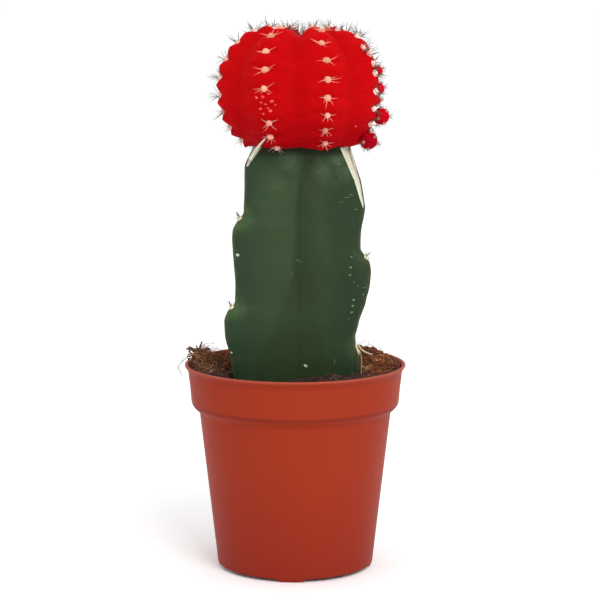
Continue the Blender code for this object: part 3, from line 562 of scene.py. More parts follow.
# Dried slice: bare inner tissue that shrank and turned to pale, matt, faintly ribbed cork.
callus = material_of("dried_callus", Roughness=0.85)
coords = add(callus, "TexCoord", {}).outputs["Object"]
long = add(callus, "Mapping", {"Vector": coords, "Scale": (1.0, 1.0, 0.25)})
fibre = add(callus, "TexNoise", {"Vector": long.outputs[0], "Scale": 1 / (0.8 * MM), "Detail": 4.0})
cream = add(callus, "Mix", {FACTOR: fibre.outputs["Fac"], COLOUR_A: linear("#A9A68C"),
                            COLOUR_B: linear("#DCDCC8")}, data_type="RGBA")
relief = add(callus, "Bump", {"Height": fibre.outputs["Fac"], "Strength": 0.5, "Distance": 0.2 * MM})
feed(callus, Base_Color=cream.outputs[COLOUR_OUT], Normal=relief.outputs[0])


# Dried skin: matt and dull, mottled between two tones.
def dried_material(name, dark, light, grain_mm, detail, roughness):
    dried = material_of(name, Roughness=roughness)
    coords = add(dried, "TexCoord", {}).outputs["Object"]
    patchy = add(dried, "TexNoise", {"Vector": coords, "Scale": 1 / (grain_mm * MM), "Detail": detail})
    tone = add(dried, "Mix", {FACTOR: patchy.outputs["Fac"], COLOUR_A: linear(dark),
                              COLOUR_B: linear(light)}, data_type="RGBA")
    feed(dried, Base_Color=tone.outputs[COLOUR_OUT])
    return dried


# The slice's rim: skin that dried to a thin brown-grey line.
rim = dried_material("dried_rim", "#504A28", "#847A52", 1.5, 3.0, 0.8)
for material in (skin, callus, rim):
    stock.data.materials.append(material)
carry(stock, None, "rootstock")


# Areoles of the stock. A short felt cushion in each notch of a rib, with a few brown-grey
# spines that point up. The same felt and spines, paler and longer, sit on the ball.
DRAWS = random.Random(5)
FELT_HAIR_RADIUS = 0.055  # a hair of felt is finer, and is drawn this thick so that it shows


def needle(name, bend, sides=5, rows=5):
    """A pattern for a spine: a slim cone one unit long and one wide at its root, and bent."""
    deselect_all()
    bpy.ops.mesh.primitive_cone_add(vertices=sides, radius1=1.0, radius2=0.12, depth=1.0,
                                    end_fill_type="NGON")
    piece = begin(name)
    bpy.ops.transform.translate(value=(0, 0, 0.5))
    cut_rows(piece, rows)
    measure(piece, "bend", [bend * vertex.co.z**2 for vertex in piece.data.vertices])
    return piece


def copies(name, patterns, placings, material):
    """One mesh of many copies. A placing gives the pattern, the frame that it stands in, its
    width and its length. Each copy gets a chance number, and each point its way along."""
    points, faces, along, chances = [], [], [], []
    for number, placing, width, length in placings:
        first = len(points)
        mesh = patterns[number].data
        bends = mesh.attributes["bend"].data
        chance = DRAWS.random()
        for vertex, bend in zip(mesh.vertices, bends):
            x, y, z = vertex.co
            points.append(placing @ Vector((x * width + bend.value * length, y * width, z * length)))
            along.append(z)
            chances.append(chance)
        faces += [[first + corner for corner in face.vertices] for face in mesh.polygons]
    mesh = bpy.data.meshes.new(name)
    mesh.from_pydata(points, [], faces)
    mesh.shade_smooth()
    piece = bpy.data.objects.new(name, mesh)
    bpy.context.scene.collection.objects.link(piece)
    measure(piece, "along", along)
    measure(piece, "chance", chances)
    mesh.materials.append(material)
    return piece


def facing(place, normal, upwards):
    """A frame at a place, its Z along the normal and its Y as near upwards as it can lie."""
    across = upwards.cross(normal).normalized()
    return Matrix.Translation(place) @ Matrix((across, normal.cross(across), normal)).transposed().to_4x4()


def aimed(frame_at, root, direction):
    """A frame at a root, its Z along a direction, both given in another frame."""
    turned_to = direction.to_track_quat("Z", "Y").to_matrix().to_4x4()
    spin = Matrix.Rotation(DRAWS.uniform(0.0, math.tau), 4, "Z")
    return frame_at @ Matrix.Translation(root) @ turned_to @ spin


def cushion_pattern(name):
    """A pattern for a felt cushion: a lumpy ball of one unit, which its placing flattens."""
    deselect_all()
    bpy.ops.mesh.primitive_ico_sphere_add(subdivisions=3, radius=1.0)
    piece = begin(name)
    bpy.ops.object.mode_set(mode="OBJECT")
    for vertex in piece.data.vertices:
        vertex.co *= 1.0 + 0.22 * noise.noise(vertex.co * 2.6) + 0.12 * noise.noise(vertex.co * 7.0)
    measure(piece, "bend", [0.0] * len(piece.data.vertices))
    return piece


needles = [needle("needle_a", 0.06), needle("needle_b", 0.16), needle("needle_c", 0.26)]
cushions = [cushion_pattern("cushion")]

# Felt: dense short wool, peach on the ball where it faces the light and pink on its old areoles
# lower down, a paler pink on the ribs round the back, and grey on the stock.
def felt_material(name, tones):
    felt = material_of(name, Roughness=0.95, Sheen_Weight=0.3, Sheen_Roughness=0.5)
    chance = add(felt, "Attribute", {}, attribute_name="chance").outputs["Fac"]
    coords = add(felt, "TexCoord", {}).outputs["Object"]
    wool = add(felt, "TexNoise", {"Vector": coords, "Scale": 1 / (0.25 * MM), "Detail": 3.0})
    uneven = add(felt, "Math", {0: chance, 1: wool.outputs["Fac"]}, operation="ADD")
    share = add(felt, "MapRange", {"Value": uneven.outputs[0], "From Min": 0.3, "From Max": 1.7})
    warm = add(felt, "Mix", {FACTOR: share.outputs[0], COLOUR_A: linear(tones[0]),
                             COLOUR_B: linear(tones[1])}, data_type="RGBA")
    relief = add(felt, "Bump", {"Height": wool.outputs["Fac"], "Strength": 0.8, "Distance": 0.12 * MM})
    feed(felt, Base_Color=warm.outputs[COLOUR_OUT], Normal=relief.outputs[0])
    return felt


felt = felt_material("areole_felt", ("#BC6E50", "#F0AC92"))
pink_felt = felt_material("pink_areole_felt", ("#BC6052", "#EEA494"))
pale_felt = felt_material("pale_areole_felt", ("#DCA898", "#F6DCD2"))
grey_felt = felt_material("grey_felt", ("#B0AA84", "#ECE8CE"))

# Spines: hard horn with a dull shine, pinkish cream on the ribs in the light. The others are
# grey-brown nearly to the root: their own colour on the stock, and painted shade on the ball, for spines
# seen against the light.
def horn_material(name, root_tones, tip_tone, turns_at):
    horn = material_of(name, Roughness=0.45, IOR=1.5, Specular_IOR_Level=0.3)
    along = add(horn, "Attribute", {}, attribute_name="along").outputs["Fac"]
    chance = add(horn, "Attribute", {}, attribute_name="chance").outputs["Fac"]
    tipped = add(horn, "MapRange", {"Value": along, "From Min": turns_at, "From Max": turns_at + 0.35})
    root = add(horn, "Mix", {FACTOR: chance, COLOUR_A: linear(root_tones[0]),
                             COLOUR_B: linear(root_tones[1])}, data_type="RGBA")
    horned = add(horn, "Mix", {FACTOR: tipped.outputs[0], COLOUR_A: root.outputs[COLOUR_OUT],
                               COLOUR_B: linear(tip_tone)}, data_type="RGBA")
    feed(horn, Base_Color=horned.outputs[COLOUR_OUT])
    return horn


horn = horn_material("spine_horn", ("#E08870", "#F0B498"), "#D8927E", 0.5)
old_horn = horn_material("old_spine_horn", ("#D09C8C", "#F0D8CC"), "#D0A898", 0.5)
dark_horn = horn_material("dark_spine_horn", ("#A08C70", "#7E7460"), "#3C3830", 0.1)

STOCK_CUSHION = (0.62, 0.85, 0.45, 1.0)
STOCK_SPINE_COUNT = 5
STOCK_SPINE_LENGTH = (1.6, 2.6)
STOCK_SPINE_RADIUS = 0.13
STOCK_SPINE_FAN = 0.7
STOCK_HAIR_COUNT = 46
ROOTED_AREOLE = 66.6  # the height of the one that grew roots in place of spines
stock_cushions = []
stock_spines = []
stock_hairs = []
for turn, areoles in zip(STOCK_RIB_TURNS, STOCK_AREOLES):
    outwards = at(turn, 1.0, 0.0).normalized()
    for height, reach in areoles:
        if height == ROOTED_AREOLE:
            continue
        shelf = facing(at(turn, reach, height, STOCK_X), (outwards + Vector((0, 0, 1.1))).normalized(),
                       outwards)
        stock_cushions.append((0, shelf @ Matrix.Diagonal(STOCK_CUSHION), MM, MM))
        for index in range(STOCK_SPINE_COUNT):
            lean = STOCK_SPINE_FAN * (2 * index / (STOCK_SPINE_COUNT - 1) - 1)
            heading = Vector((lean, -0.55 + 0.5 * DRAWS.random(), 1.0))
            frame_here = aimed(shelf, Vector((0.3 * lean, -0.1, 0.45)) * MM, heading)
            stock_spines.append((DRAWS.randrange(3), frame_here, STOCK_SPINE_RADIUS * MM,
                                 DRAWS.uniform(*STOCK_SPINE_LENGTH) * MM))
        for _ in range(STOCK_HAIR_COUNT):
            heading = Vector((DRAWS.uniform(-1, 1), DRAWS.uniform(-1, 1), 0.8))
            root = Vector((heading.x * 0.5, heading.y * 0.7, 0.25)) * MM
            stock_hairs.append((DRAWS.randrange(3), aimed(shelf, root, heading), FELT_HAIR_RADIUS * MM,
                                DRAWS.uniform(0.5, 0.95) * MM))
for name, patterns, placings, material in (("stock_cushions", cushions, stock_cushions, grey_felt),
                                           ("stock_spines", needles, stock_spines, dark_horn),
                                           ("stock_wool", needles, stock_hairs, grey_felt)):
    carry(copies(name, patterns, placings, material))


# The ball. One body of a red mutant grown without green, of eight ribs. Each rib is a row of
# chins, and an areole with felt and spines sits in the notch above each chin.
BALL_X = 1.4
BALL_RIB_TURNS = tuple(math.radians(turn) for turn in (-80, -25.5, 21, 68, 113, 156, 197, 239))
# How each rib sways: from the top down, the areole and the degrees that it stands off its turn.
BALL_SWAYS = (
    ((0, 0), (9, 0)),
    ((0, -6), (2.5, -5.8), (3.5, -3.0), (4.5, 0.0), (5.5, 1.0), (7.5, 2.0), (8.5, 0.5), (9.5, 2.9)),
    ((0, 7), (2, 6.8), (3, -1.5), (4, -0.4), (5, -1.7), (6, -2.3), (7, -1.6), (8, -1.0), (9, 0.6)),
    ((0, 3), (4, 0), (9, 1)),
    ((0, -2), (5, 2), (9, -1)),
    ((0, 2), (5, -1), (9, 2)),
    ((0, -3), (4, 1), (9, -2)),
    ((0, 1), (5, -2), (9, 1)),
)
BALL_RIB_PHASES = (0.0, 0.5, 0.0, 0.75, 0.25, 0.5, 0.0, 0.5)
BALL_OUTLINE = ((0, 155.0), (4.5, 156.6), (9.2, 158.0), (13.6, 156.9), (17.6, 154.0), (21.0, 149.4),
                (22.6, 145.0), (22.9, 140.4), (22.4, 135.4), (21.4, 131.4), (19.6, 127.9), (17.8, 125.5),
                (16.3, 124.35), (15.2, 124.8), (14.5, 125.6), (8.0, 125.6), (0, 125.6))
BALL_SEAT_RADIUS = 14.5
BALL_AREOLE_WAYS = (2.4, 7.6, 13.4, 19.4, 25.1, 30.5, 35.5, 40.4, 44.8, 49.1, 53.0)
BALL_FIRST_AREOLE = 1
BALL_LAST_AREOLE = 9.5
BALL_VALLEY_DEPTHS = (2.2, 1.45)  # near the top and from the shoulder down
BALL_SHOULDER = (8.0, 20.0)
BALL_VALLEY_SHAPE = 1.8
BALL_VALLEY_FADE = 9.0
BALL_RIB_TUCKS = (2.4, 0.3, 0.0, 0.0, 0.4, 0.2, 0.5, 1.4)
BALL_TUCK_FROM = 36.0
BALL_TUCK_OVER = 15.0
BALL_CHINS = (1.55, 1.4, 1.4, 0.9, 1.45, 1.55, 1.5, 1.55)
BALL_CHIN_WIDTH = 0.40
# How much a rib is swollen, or sunken, round a way down it: the rib, how much, the way and how far.
BALL_SWELLS = ((3, -0.7, 11.0, 4.0), (3, 1.3, 20.0, 6.0))
BALL_CREASE = 0.15
BALL_COLUMNS_PER_RIB = 26
BALL_ROWS = 216
BALL_SEAT_SHARE = 0.95  # of the rows, that lie above the seat
BALL_MIDDLE_HEIGHT = 140.5
BALL_LUMPS = ((0.28, 7.0), (0.05, 1.6))  # how tall and how wide


def smooth_curve(points):
    """Points along a smooth curve through the given ones, and the way to each."""
    points = [Vector(point) for point in points]
    ends = [2 * points[0] - points[1], *points, 2 * points[-1] - points[-2]]
    fine = 24
    samples = []
    for a, b, c, d in zip(ends, ends[1:], ends[2:], ends[3:]):
        for step in range(fine):
            t = step / fine
            samples.append(0.5 * (2 * b + (c - a) * t + (2 * a - 5 * b + 4 * c - d) * t**2
                                  + (3 * b - a - 3 * c + d) * t**3))
    samples.append(points[-1])
    ways = [0.0]
    for first, second in zip(samples, samples[1:]):
        ways.append(ways[-1] + (second - first).length)
    return samples, ways


def along_curve(curve, way):
    """The point at a way along a curve."""
    samples, ways = curve
    way = min(max(way, 0.0), ways[-1])
    low, high = 0, len(ways) - 1
    while high - low > 1:
        middle = (low + high) // 2
        if ways[middle] <= way:
            low = middle
        else:
            high = middle
    return samples[low].lerp(samples[high], (way - ways[low]) / (ways[high] - ways[low]))


ball_curve = smooth_curve(BALL_OUTLINE)
ball_length = ball_curve[1][-1]


def areole_way(areole):
    index = min(int(areole), len(BALL_AREOLE_WAYS) - 2)
    first, second = BALL_AREOLE_WAYS[index:index + 2]
    return first + (second - first) * (areole - index)


def areole_at(way):
    """The inverse of areole_way: how many areoles down a rib a way is."""
    if way <= BALL_AREOLE_WAYS[0]:
        return way / BALL_AREOLE_WAYS[0] - 1.0
    for index, (first, second) in enumerate(zip(BALL_AREOLE_WAYS, BALL_AREOLE_WAYS[1:])):
        if way <= second:
            return index + (way - first) / (second - first)
    return len(BALL_AREOLE_WAYS) - 1.0


@functools.lru_cache(maxsize=None)
def rib_line(rib, way):
    """The turn at which a rib runs, at a way down it."""
    (_, s0), (_, s1), share = between(BALL_SWAYS[rib], areole_at(way))
    return BALL_RIB_TURNS[rib] + math.radians(s0 + (s1 - s0) * share * share * (3.0 - 2.0 * share))


def rib_turn(rib, across, way):
    """The turn of a point so far across a rib, where 1 is the valley towards the next rib."""
    other = rib_line((rib + (1 if across > 0 else -1)) % len(BALL_RIB_TURNS), way)
    here = rib_line(rib, way)
    span = (other - here) % math.tau if across > 0 else (here - other) % math.tau
    return here + across * 0.5 * span


def ball_point(rib, across, way):
    """A point on the ball, and how much of a furrow it has."""
    spot = along_curve(ball_curve, way)
    step = along_curve(ball_curve, way + 0.4) - along_curve(ball_curve, way - 0.4)
    outwards = Vector((-step.y, step.x)).normalized()
    last_way = areole_way(BALL_LAST_AREOLE)
    seat_way = ball_length - BALL_SEAT_RADIUS
    under = clamp((way - last_way) / (seat_way - last_way))
    curl = clamp((way - BALL_TUCK_FROM) / BALL_TUCK_OVER)
    furrow = 0.5 - 0.5 * math.cos(math.pi * abs(across) ** BALL_VALLEY_SHAPE)
    furrow *= min(spot.x / BALL_VALLEY_FADE, 1.0)
    furrow *= (1.0 - under) * (1.0 - 0.4 * curl)
    tuck = BALL_RIB_TUCKS[rib] * curl * curl * (1.0 - across * across) * (1.0 - under)
    # The crease above a chin runs down and out over the rib's flanks.
    areole = areole_at(way - 1.3 * abs(across) ** 1.5)
    share = areole - BALL_RIB_PHASES[rib]
    chin = 0.0
    if BALL_FIRST_AREOLE <= share and areole <= BALL_LAST_AREOLE:
        peak = 1.0 - abs(2.0 * (share % 1.0) ** 0.92 - 1.0)
        swelling = peak * (1.25 - 0.25 * peak)
        nose = (1.0 - BALL_CREASE) * math.exp(-((across / BALL_CHIN_WIDTH) ** 2))
        chin = swelling * (nose + BALL_CREASE * (1.0 - across * across))
        chin *= 1.0 + 0.22 * noise.noise(Vector((rib * 3.1, math.floor(share) * 1.7, 0.0)))
        chin *= min(0.2 + 0.2 * share, 1.0)
    shoulder = clamp((way - BALL_SHOULDER[0]) / (BALL_SHOULDER[1] - BALL_SHOULDER[0]))
    shoulder *= shoulder * (3.0 - 2.0 * shoulder)
    depth = BALL_VALLEY_DEPTHS[0] + (BALL_VALLEY_DEPTHS[1] - BALL_VALLEY_DEPTHS[0]) * shoulder
    lift = 0.0
    for swollen_rib, swollen, middle_way, spread in BALL_SWELLS:
        if rib == swollen_rib:
            lift += swollen * math.exp(-(((way - middle_way) / spread) ** 2)) * (1.0 - across * across)
    spot = spot + outwards * (BALL_CHINS[rib] * chin + lift - depth * furrow)
    place = at(rib_turn(rib, across, way), max(spot.x - tuck, 0.0), spot.y, BALL_X)
    return place, furrow


deselect_all()
ball_columns = BALL_COLUMNS_PER_RIB * len(BALL_RIB_TURNS)
bpy.ops.mesh.primitive_uv_sphere_add(segments=ball_columns, ring_count=BALL_ROWS, radius=1.0)
ball = begin("ball")
bpy.ops.object.mode_set(mode="OBJECT")
furrows = []
ball_middle = Vector((BALL_X, 0.0, BALL_MIDDLE_HEIGHT)) * MM
seat_way = ball_length - BALL_SEAT_RADIUS
for vertex in ball.data.vertices:
    row = math.acos(max(-1.0, min(1.0, vertex.co.z))) / math.pi
    column = round(math.atan2(vertex.co.x, -vertex.co.y) / math.tau * ball_columns) % ball_columns
    rib, within = divmod(column, BALL_COLUMNS_PER_RIB)
    across = -1.0 + 2.0 * within / BALL_COLUMNS_PER_RIB
    if row <= BALL_SEAT_SHARE:
        way = seat_way * row / BALL_SEAT_SHARE
    else:
        way = seat_way + BALL_SEAT_RADIUS * (row - BALL_SEAT_SHARE) / (1.0 - BALL_SEAT_SHARE)
    vertex.co, furrow = ball_point(rib, across, way)
    if way < seat_way - 1.0:
        place = vertex.co.copy()
        swell = sum(tall * noise.noise(place / (wide * MM)) for tall, wide in BALL_LUMPS)
        vertex.co += (place - ball_middle).normalized() * swell * MM
    furrows.append(furrow)
measure(ball, "furrow", furrows)
pick(ball)
bpy.ops.object.mode_set(mode="EDIT")
bpy.ops.mesh.select_all(action="SELECT")
bpy.ops.mesh.normals_make_consistent(inside=False)
bpy.ops.object.mode_set(mode="OBJECT")
bpy.ops.object.shade_smooth()

# Ball flesh: juicy and faintly translucent, so light spreads in it and its red stays full in the
# shade, with a thin waxy skin, painted shade in the furrows and towards the bottom, and paler streaks
# on the flanks.
FLESH_RED = "#AC060A"
FLESH_SHADE = "#84040A"
FLESH_BRIGHT = "#B80E0E"


def flesh_material(name, main, deep_shade, bright):
    flesh = material_of(name, IOR=1.3, Specular_IOR_Level=0.02, Subsurface_Weight=0.6,
                        Subsurface_Scale=2.0 * MM, Subsurface_Radius=(1.0, 0.06, 0.05))
    coords = add(flesh, "TexCoord", {}).outputs["Object"]
    cloud = add(flesh, "TexNoise", {"Vector": coords, "Scale": 1 / (8 * MM), "Detail": 4.0})
    level = add(flesh, "Mapping", {"Vector": coords, "Scale": (0.35, 0.35, 1.6)})
    streak = add(flesh, "TexNoise", {"Vector": level.outputs[0], "Scale": 1 / (2.6 * MM), "Detail": 5.0})
    paler = add(flesh, "MapRange", {"Value": streak.outputs["Fac"], "From Min": 0.5, "From Max": 0.75,
                                    "To Max": 0.55})
    hollow = add(flesh, "Attribute", {}, attribute_name="furrow").outputs["Fac"]
    # painted shade in the furrows
    shaded = add(flesh, "Math", {0: hollow, 1: cloud.outputs["Fac"]}, operation="MULTIPLY")
    furrow_shade = add(flesh, "MapRange", {"Value": shaded.outputs[0], "To Max": 0.35})
    height = add(flesh, "SeparateXYZ", {"Vector": coords}).outputs["Z"]
    # painted shade towards the bottom
    low = add(flesh, "MapRange", {"Value": height, "From Min": 137 * MM, "From Max": 124 * MM,
                                  "To Max": 0.85})
    colour = linear(main)
    for share, tone in ((paler, bright), (furrow_shade, deep_shade), (low, deep_shade)):
        colour = add(flesh, "Mix", {FACTOR: share.outputs[0], COLOUR_A: colour, COLOUR_B: linear(tone)},
                     data_type="RGBA").outputs[COLOUR_OUT]
    grain = add(flesh, "TexNoise", {"Vector": coords, "Scale": 1 / (0.6 * MM), "Detail": 4.0})
    fine = add(flesh, "Bump", {"Height": grain.outputs["Fac"], "Strength": 0.2, "Distance": 0.06 * MM})
    relief = add(flesh, "Bump", {"Height": streak.outputs["Fac"], "Strength": 0.6, "Distance": 0.7 * MM,
                                 "Normal": fine.outputs[0]})
    gloss = add(flesh, "MapRange", {"Value": cloud.outputs["Fac"], "From Min": 0.3, "From Max": 0.7,
                                    "To Min": 0.58, "To Max": 0.7})
    feed(flesh, Base_Color=colour, Normal=relief.outputs[0], Roughness=gloss.outputs[0])
    return flesh


flesh = flesh_material("red_flesh", FLESH_RED, FLESH_SHADE, FLESH_BRIGHT)
carry(ball, flesh, "scion")
ball_tree = BVHTree.FromObject(ball, bpy.context.evaluated_depsgraph_get())


# Areoles of the ball: an oval felt cushion in each notch, with spines that spread like a star,
# seven to nine on the ribs in the light and eleven to thirteen on the others, and a tuft of
# young spines in the dimple at the top.
BALL_CUSHION = (0.98, 1.0, 1.05)
BALL_SPINE_LENGTH = (2.3, 3.9)
BALL_SPINE_RADIUS = 0.11
LOW_SPINE_SHARES = (0.85, 0.75)  # of the length and width, under the ball
BALL_HAIRS = 40
BALL_LIT_RIBS = (1, 2)  # the ribs in the light, whose spines are pink; the others get dark spines as painted shade
BALL_LOW_FROM = BALL_LAST_AREOLE - 1.6
BALL_PINK_FROM = 6.2
BALL_EDGE_BUDS = ((358.0, 37.0), (363.0, 47.5), (373.0, 63.5), (380.0, 70.0))  # as pixels
BUD_CUSHION = (0.8, 0.9, 0.6, 1.0)
DARK_RISE = (0.3, 1.6)  # how steeply the dark spines stand
HEALED_AREOLE = (1, 6.5)  # the areole of the front left rib that has healed over
CROWN_SPINES = 52
CROWN_RADIUS = 5.4
CROWN_STEP = 2.4  # the turn from each to the next, near the golden angle
CROWN_SINK = 0.3
CROWN_LEAN = 0.16
CROWN_SPINE_LENGTH = (2.6, 4.6)
CROWN_SPINE_RADIUS = 0.13


def ball_frame(rib, across, way):
    """A frame on the ball, its Z outwards and its Y up the rib."""
    here = ball_point(rib, across, way)[0]
    up = (ball_point(rib, across, way - 0.3)[0] - ball_point(rib, across, way + 0.3)[0]).normalized()
    side = ball_point(rib, across + 0.05, way)[0] - ball_point(rib, across - 0.05, way)[0]
    return facing(here, side.cross(up).normalized(), up)


def star(frame_at, spines, hairs, count, size, low, rise=(0.15, 0.6)):
    """Spines round a cushion, the first straight down, and the wool between them."""
    long, wide = LOW_SPINE_SHARES if low else (1.0, 1.0)
    first = -math.pi / 2 + DRAWS.uniform(-0.35, 0.35)
    for index in range(count):
        angle = first + math.tau * index / count + DRAWS.uniform(-0.25, 0.25)
        flat = Vector((math.cos(angle), math.sin(angle), 0.0))
        heading = flat + Vector((0, 0, DRAWS.uniform(*rise)))
        length = DRAWS.uniform(*BALL_SPINE_LENGTH) * size * long
        frame_here = aimed(frame_at, flat * 0.35 * size * MM + Vector((0, 0, 0.15 * MM)), heading)
        width = BALL_SPINE_RADIUS * size**0.5 * wide
        spines.append((DRAWS.randrange(3), frame_here, width * MM, length * MM))
    for _ in range(int(BALL_HAIRS * size)):
        heading = Vector((DRAWS.uniform(-1, 1), DRAWS.uniform(-1, 1), DRAWS.uniform(0.5, 1.1)))
        root = Vector((heading.x * 0.6, heading.y * 0.5, 0.2)) * MM * size
        hairs.append((DRAWS.randrange(3), aimed(frame_at, root, heading), FELT_HAIR_RADIUS * MM,
                      DRAWS.uniform(0.35, 0.8) * size * MM))


ball_cushions, ball_spines, ball_hairs = [], [], []
pink_cushions, pink_hairs, old_spines = [], [], []
pale_cushions, dark_spines, pale_hairs = [], [], []
for rib, phase in enumerate(BALL_RIB_PHASES):
    for index in range(BALL_FIRST_AREOLE, len(BALL_AREOLE_WAYS)):
        areole = index + phase
        if areole > BALL_LAST_AREOLE or (rib, areole) == HEALED_AREOLE:
            continue
        here = ball_frame(rib, DRAWS.uniform(-0.03, 0.03), areole_way(areole) + 0.25)
        low = areole > BALL_LOW_FROM
        old = areole > BALL_PINK_FROM
        size = 0.85 if areole < 2 or old else 1.0
        stretch = DRAWS.uniform(0.85, 1.15) * size
        shape = Matrix.Diagonal((BALL_CUSHION[0] * stretch, BALL_CUSHION[1] * size, BALL_CUSHION[2], 1.0))
        placing = (0, here @ Matrix.Rotation(DRAWS.uniform(-0.5, 0.5), 4, "Z") @ shape, MM, MM)
        # the other ribs get dark spines, a painted shade for spines seen against the light
        if rib in BALL_LIT_RIBS:
            (pink_cushions if old else ball_cushions).append(placing)
            spine_list, hair_list = (old_spines, pink_hairs) if old else (ball_spines, ball_hairs)
            star(here, spine_list, hair_list, DRAWS.choice((7, 8, 9)), size, low)
        else:
            pale_cushions.append(placing)
            star(here, dark_spines, pale_hairs, DRAWS.choice((11, 12, 13)), 1.15 * size, low, DARK_RISE)
for column, row in BALL_EDGE_BUDS:
    place, normal = seen_on(ball_tree, column, row)
    if place is not None:
        here = facing(place, normal, Vector((0, 0, 1)))
        pale_cushions.append((0, here @ Matrix.Diagonal(BUD_CUSHION), MM, MM))
        star(here, dark_spines, pale_hairs, 10, 1.0, False, DARK_RISE)
for index in range(CROWN_SPINES):
    turn = index * CROWN_STEP
    radius = CROWN_RADIUS * math.sqrt((index + 0.5) / CROWN_SPINES)
    foot = at(turn, radius, along_curve(ball_curve, radius * 1.06).y - CROWN_SINK, BALL_X)
    lean = CROWN_LEAN * radius
    heading = Vector((lean * math.sin(turn), -lean * math.cos(turn), 1.0))
    upright = aimed(Matrix.Translation(foot), Vector((0, 0, 0)), heading)
    dark_spines.append((DRAWS.randrange(2), upright, CROWN_SPINE_RADIUS * MM,
                        DRAWS.uniform(*CROWN_SPINE_LENGTH) * MM))


# The pups: five small balls that bud beside the areoles of the right-hand rib, crimson and
# taut, each with its own small areoles. They are fused to the ball, as they grew from it.
# Each pup as the pixel of its middle, its distance in front of the pot's axis, and its radius.
PUPS = (
    (377.7, 70.8, 5.0, 1.45),
    (379.0, 88.5, 4.5, 1.60),
    (376.9, 100.3, 5.5, 1.20),
    (381.0, 116.2, 3.5, 2.40),
    (368.5, 140.3, 7.5, 2.60),
)
PUPS_FACE_FROM = 138.0  # the height on the ball's axis that they face away from
PUP_RIBS = 6
PUP_VALLEY = 0.16
PUP_CHIN = 0.05
PUP_AREOLES = ((0.3, 1), (1.0, 3), (1.7, 4))  # how far down each round lies, and their number
PUP_RISE = (0.4, 1.8)
pup_flesh = flesh_material("crimson_flesh", "#BC0618", "#7C0416", "#D4142C")
for number, (column, row, nearness, radius) in enumerate(PUPS, 1):
    middle = pixel_place(column, row, nearness)
    outwards = (middle - Vector((BALL_X, 0.0, PUPS_FACE_FROM)) * MM).normalized()
    here = facing(middle, outwards, Vector((0, 0, 1)))
    deselect_all()
    bpy.ops.mesh.primitive_uv_sphere_add(segments=48, ring_count=28, radius=1.0)
    pup = begin(f"pup_{number}")
    bpy.ops.object.mode_set(mode="OBJECT")
    hollows = []
    for vertex in pup.data.vertices:
        turn = math.atan2(vertex.co.y, vertex.co.x)
        level = math.acos(max(-1.0, min(1.0, vertex.co.z)))
        rib = abs(math.sin(PUP_RIBS * turn / 2)) ** 0.7
        bump = 0.5 - 0.5 * math.cos(level * 7.0 + (1.5 if math.sin(PUP_RIBS * turn) > 0 else 0.0))
        hollow = (1.0 - rib) * math.sin(level)
        swollen = 1.0 - PUP_VALLEY * hollow + PUP_CHIN * bump * rib * math.sin(level)
        vertex.co = here @ (vertex.co * swollen * radius * MM)
        hollows.append(hollow)
    measure(pup, "furrow", hollows)
    pick(pup)
    bpy.ops.object.shade_smooth()
    carry(pup, pup_flesh)
    for level, count in PUP_AREOLES:
        for index in range(count):
            turn = math.tau * index / count + 2.0 * level
            normal = Vector((math.sin(level) * math.cos(turn), math.sin(level) * math.sin(turn),
                             math.cos(level)))
            spot = here @ facing(normal * radius * MM, normal, Vector((0, 0.1, 1)).normalized())
            size = 0.26 + 0.08 * radius
            shape = Matrix.Diagonal((size, size * 0.8, 0.2, 1.0))
            if radius > 2.0:
                pink_cushions.append((0, spot @ shape, MM, MM))
            star(spot, dark_spines, pink_hairs, 8, size, False, PUP_RISE)

for name, patterns, placings, material in (
        ("ball_cushions", cushions, ball_cushions, felt), ("ball_spines", needles, ball_spines, horn),
        ("ball_wool", needles, ball_hairs, felt), ("pink_cushions", cushions, pink_cushions, pink_felt),
        ("pink_wool", needles, pink_hairs, pink_felt), ("old_spines", needles, old_spines, old_horn),
        ("pale_cushions", cushions, pale_cushions, pale_felt),
        ("dark_spines", needles, dark_spines, dark_horn), ("pale_wool", needles, pale_hairs, pale_felt)):
    carry(copies(name, patterns, placings, material))


# Scars: a spatter of raised pinkish cork where an areole of the front left rib healed, one
# by the right-hand rib, and pale dots of cork on the stock, each as a pixel with its radius.
SCAR_PIXELS = ((256.5, 97.6, 0.4), (262.7, 97.0, 0.42), (268.8, 93.8, 0.36), (271.7, 101.4, 0.52),
               (275.4, 104.8, 0.36), (261.2, 102.5, 0.32), (265.6, 104.3, 0.42), (260.5, 108.8, 0.42),
               (270.3, 110.8, 0.52), (268.0, 108.0, 0.32), (263.5, 114.0, 0.3), (355.7, 126.3, 0.32))
STOCK_DOT_PIXELS = ((237.5, 255.0, 0.45), (305.5, 366.0, 0.5), (231.5, 352.6, 0.3))
FAINT_DOT_PIXELS = ((353.5, 300.0, 0.36), (352.6, 306.0, 0.38), (351.6, 312.5, 0.36), (348.8, 318.6, 0.26),
                    (357.8, 286.0, 0.26), (363.0, 294.6, 0.24), (364.5, 287.5, 0.2), (350.6, 267.5, 0.42),
                    (350.0, 275.0, 0.3), (351.5, 257.0, 0.3), (354.0, 282.0, 0.2))
DOT_THICKNESS = 0.18
# Scratches on the stock, as pixels with half the length and the slope in degrees.
STOCK_SCRATCHES = ((351.0, 195.0, 0.7, -14.0), (346.5, 197.2, 0.9, 8.0), (341.5, 202.0, 0.6, 6.0),
                   (356.0, 209.5, 0.4, -12.0), (319.0, 172.5, 0.4, -35.0), (337.8, 163.0, 0.5, 76.0),
                   (339.6, 164.5, 0.35, 60.0), (334.6, 362.0, 0.9, 88.0),
                   (298.0, 260.0, 0.7, 20.0), (292.0, 274.0, 0.6, 60.0), (300.5, 261.5, 0.4, 0.0))
SCRATCH_WIDTH = 0.13
SCRATCH_THICKNESS = 0.05


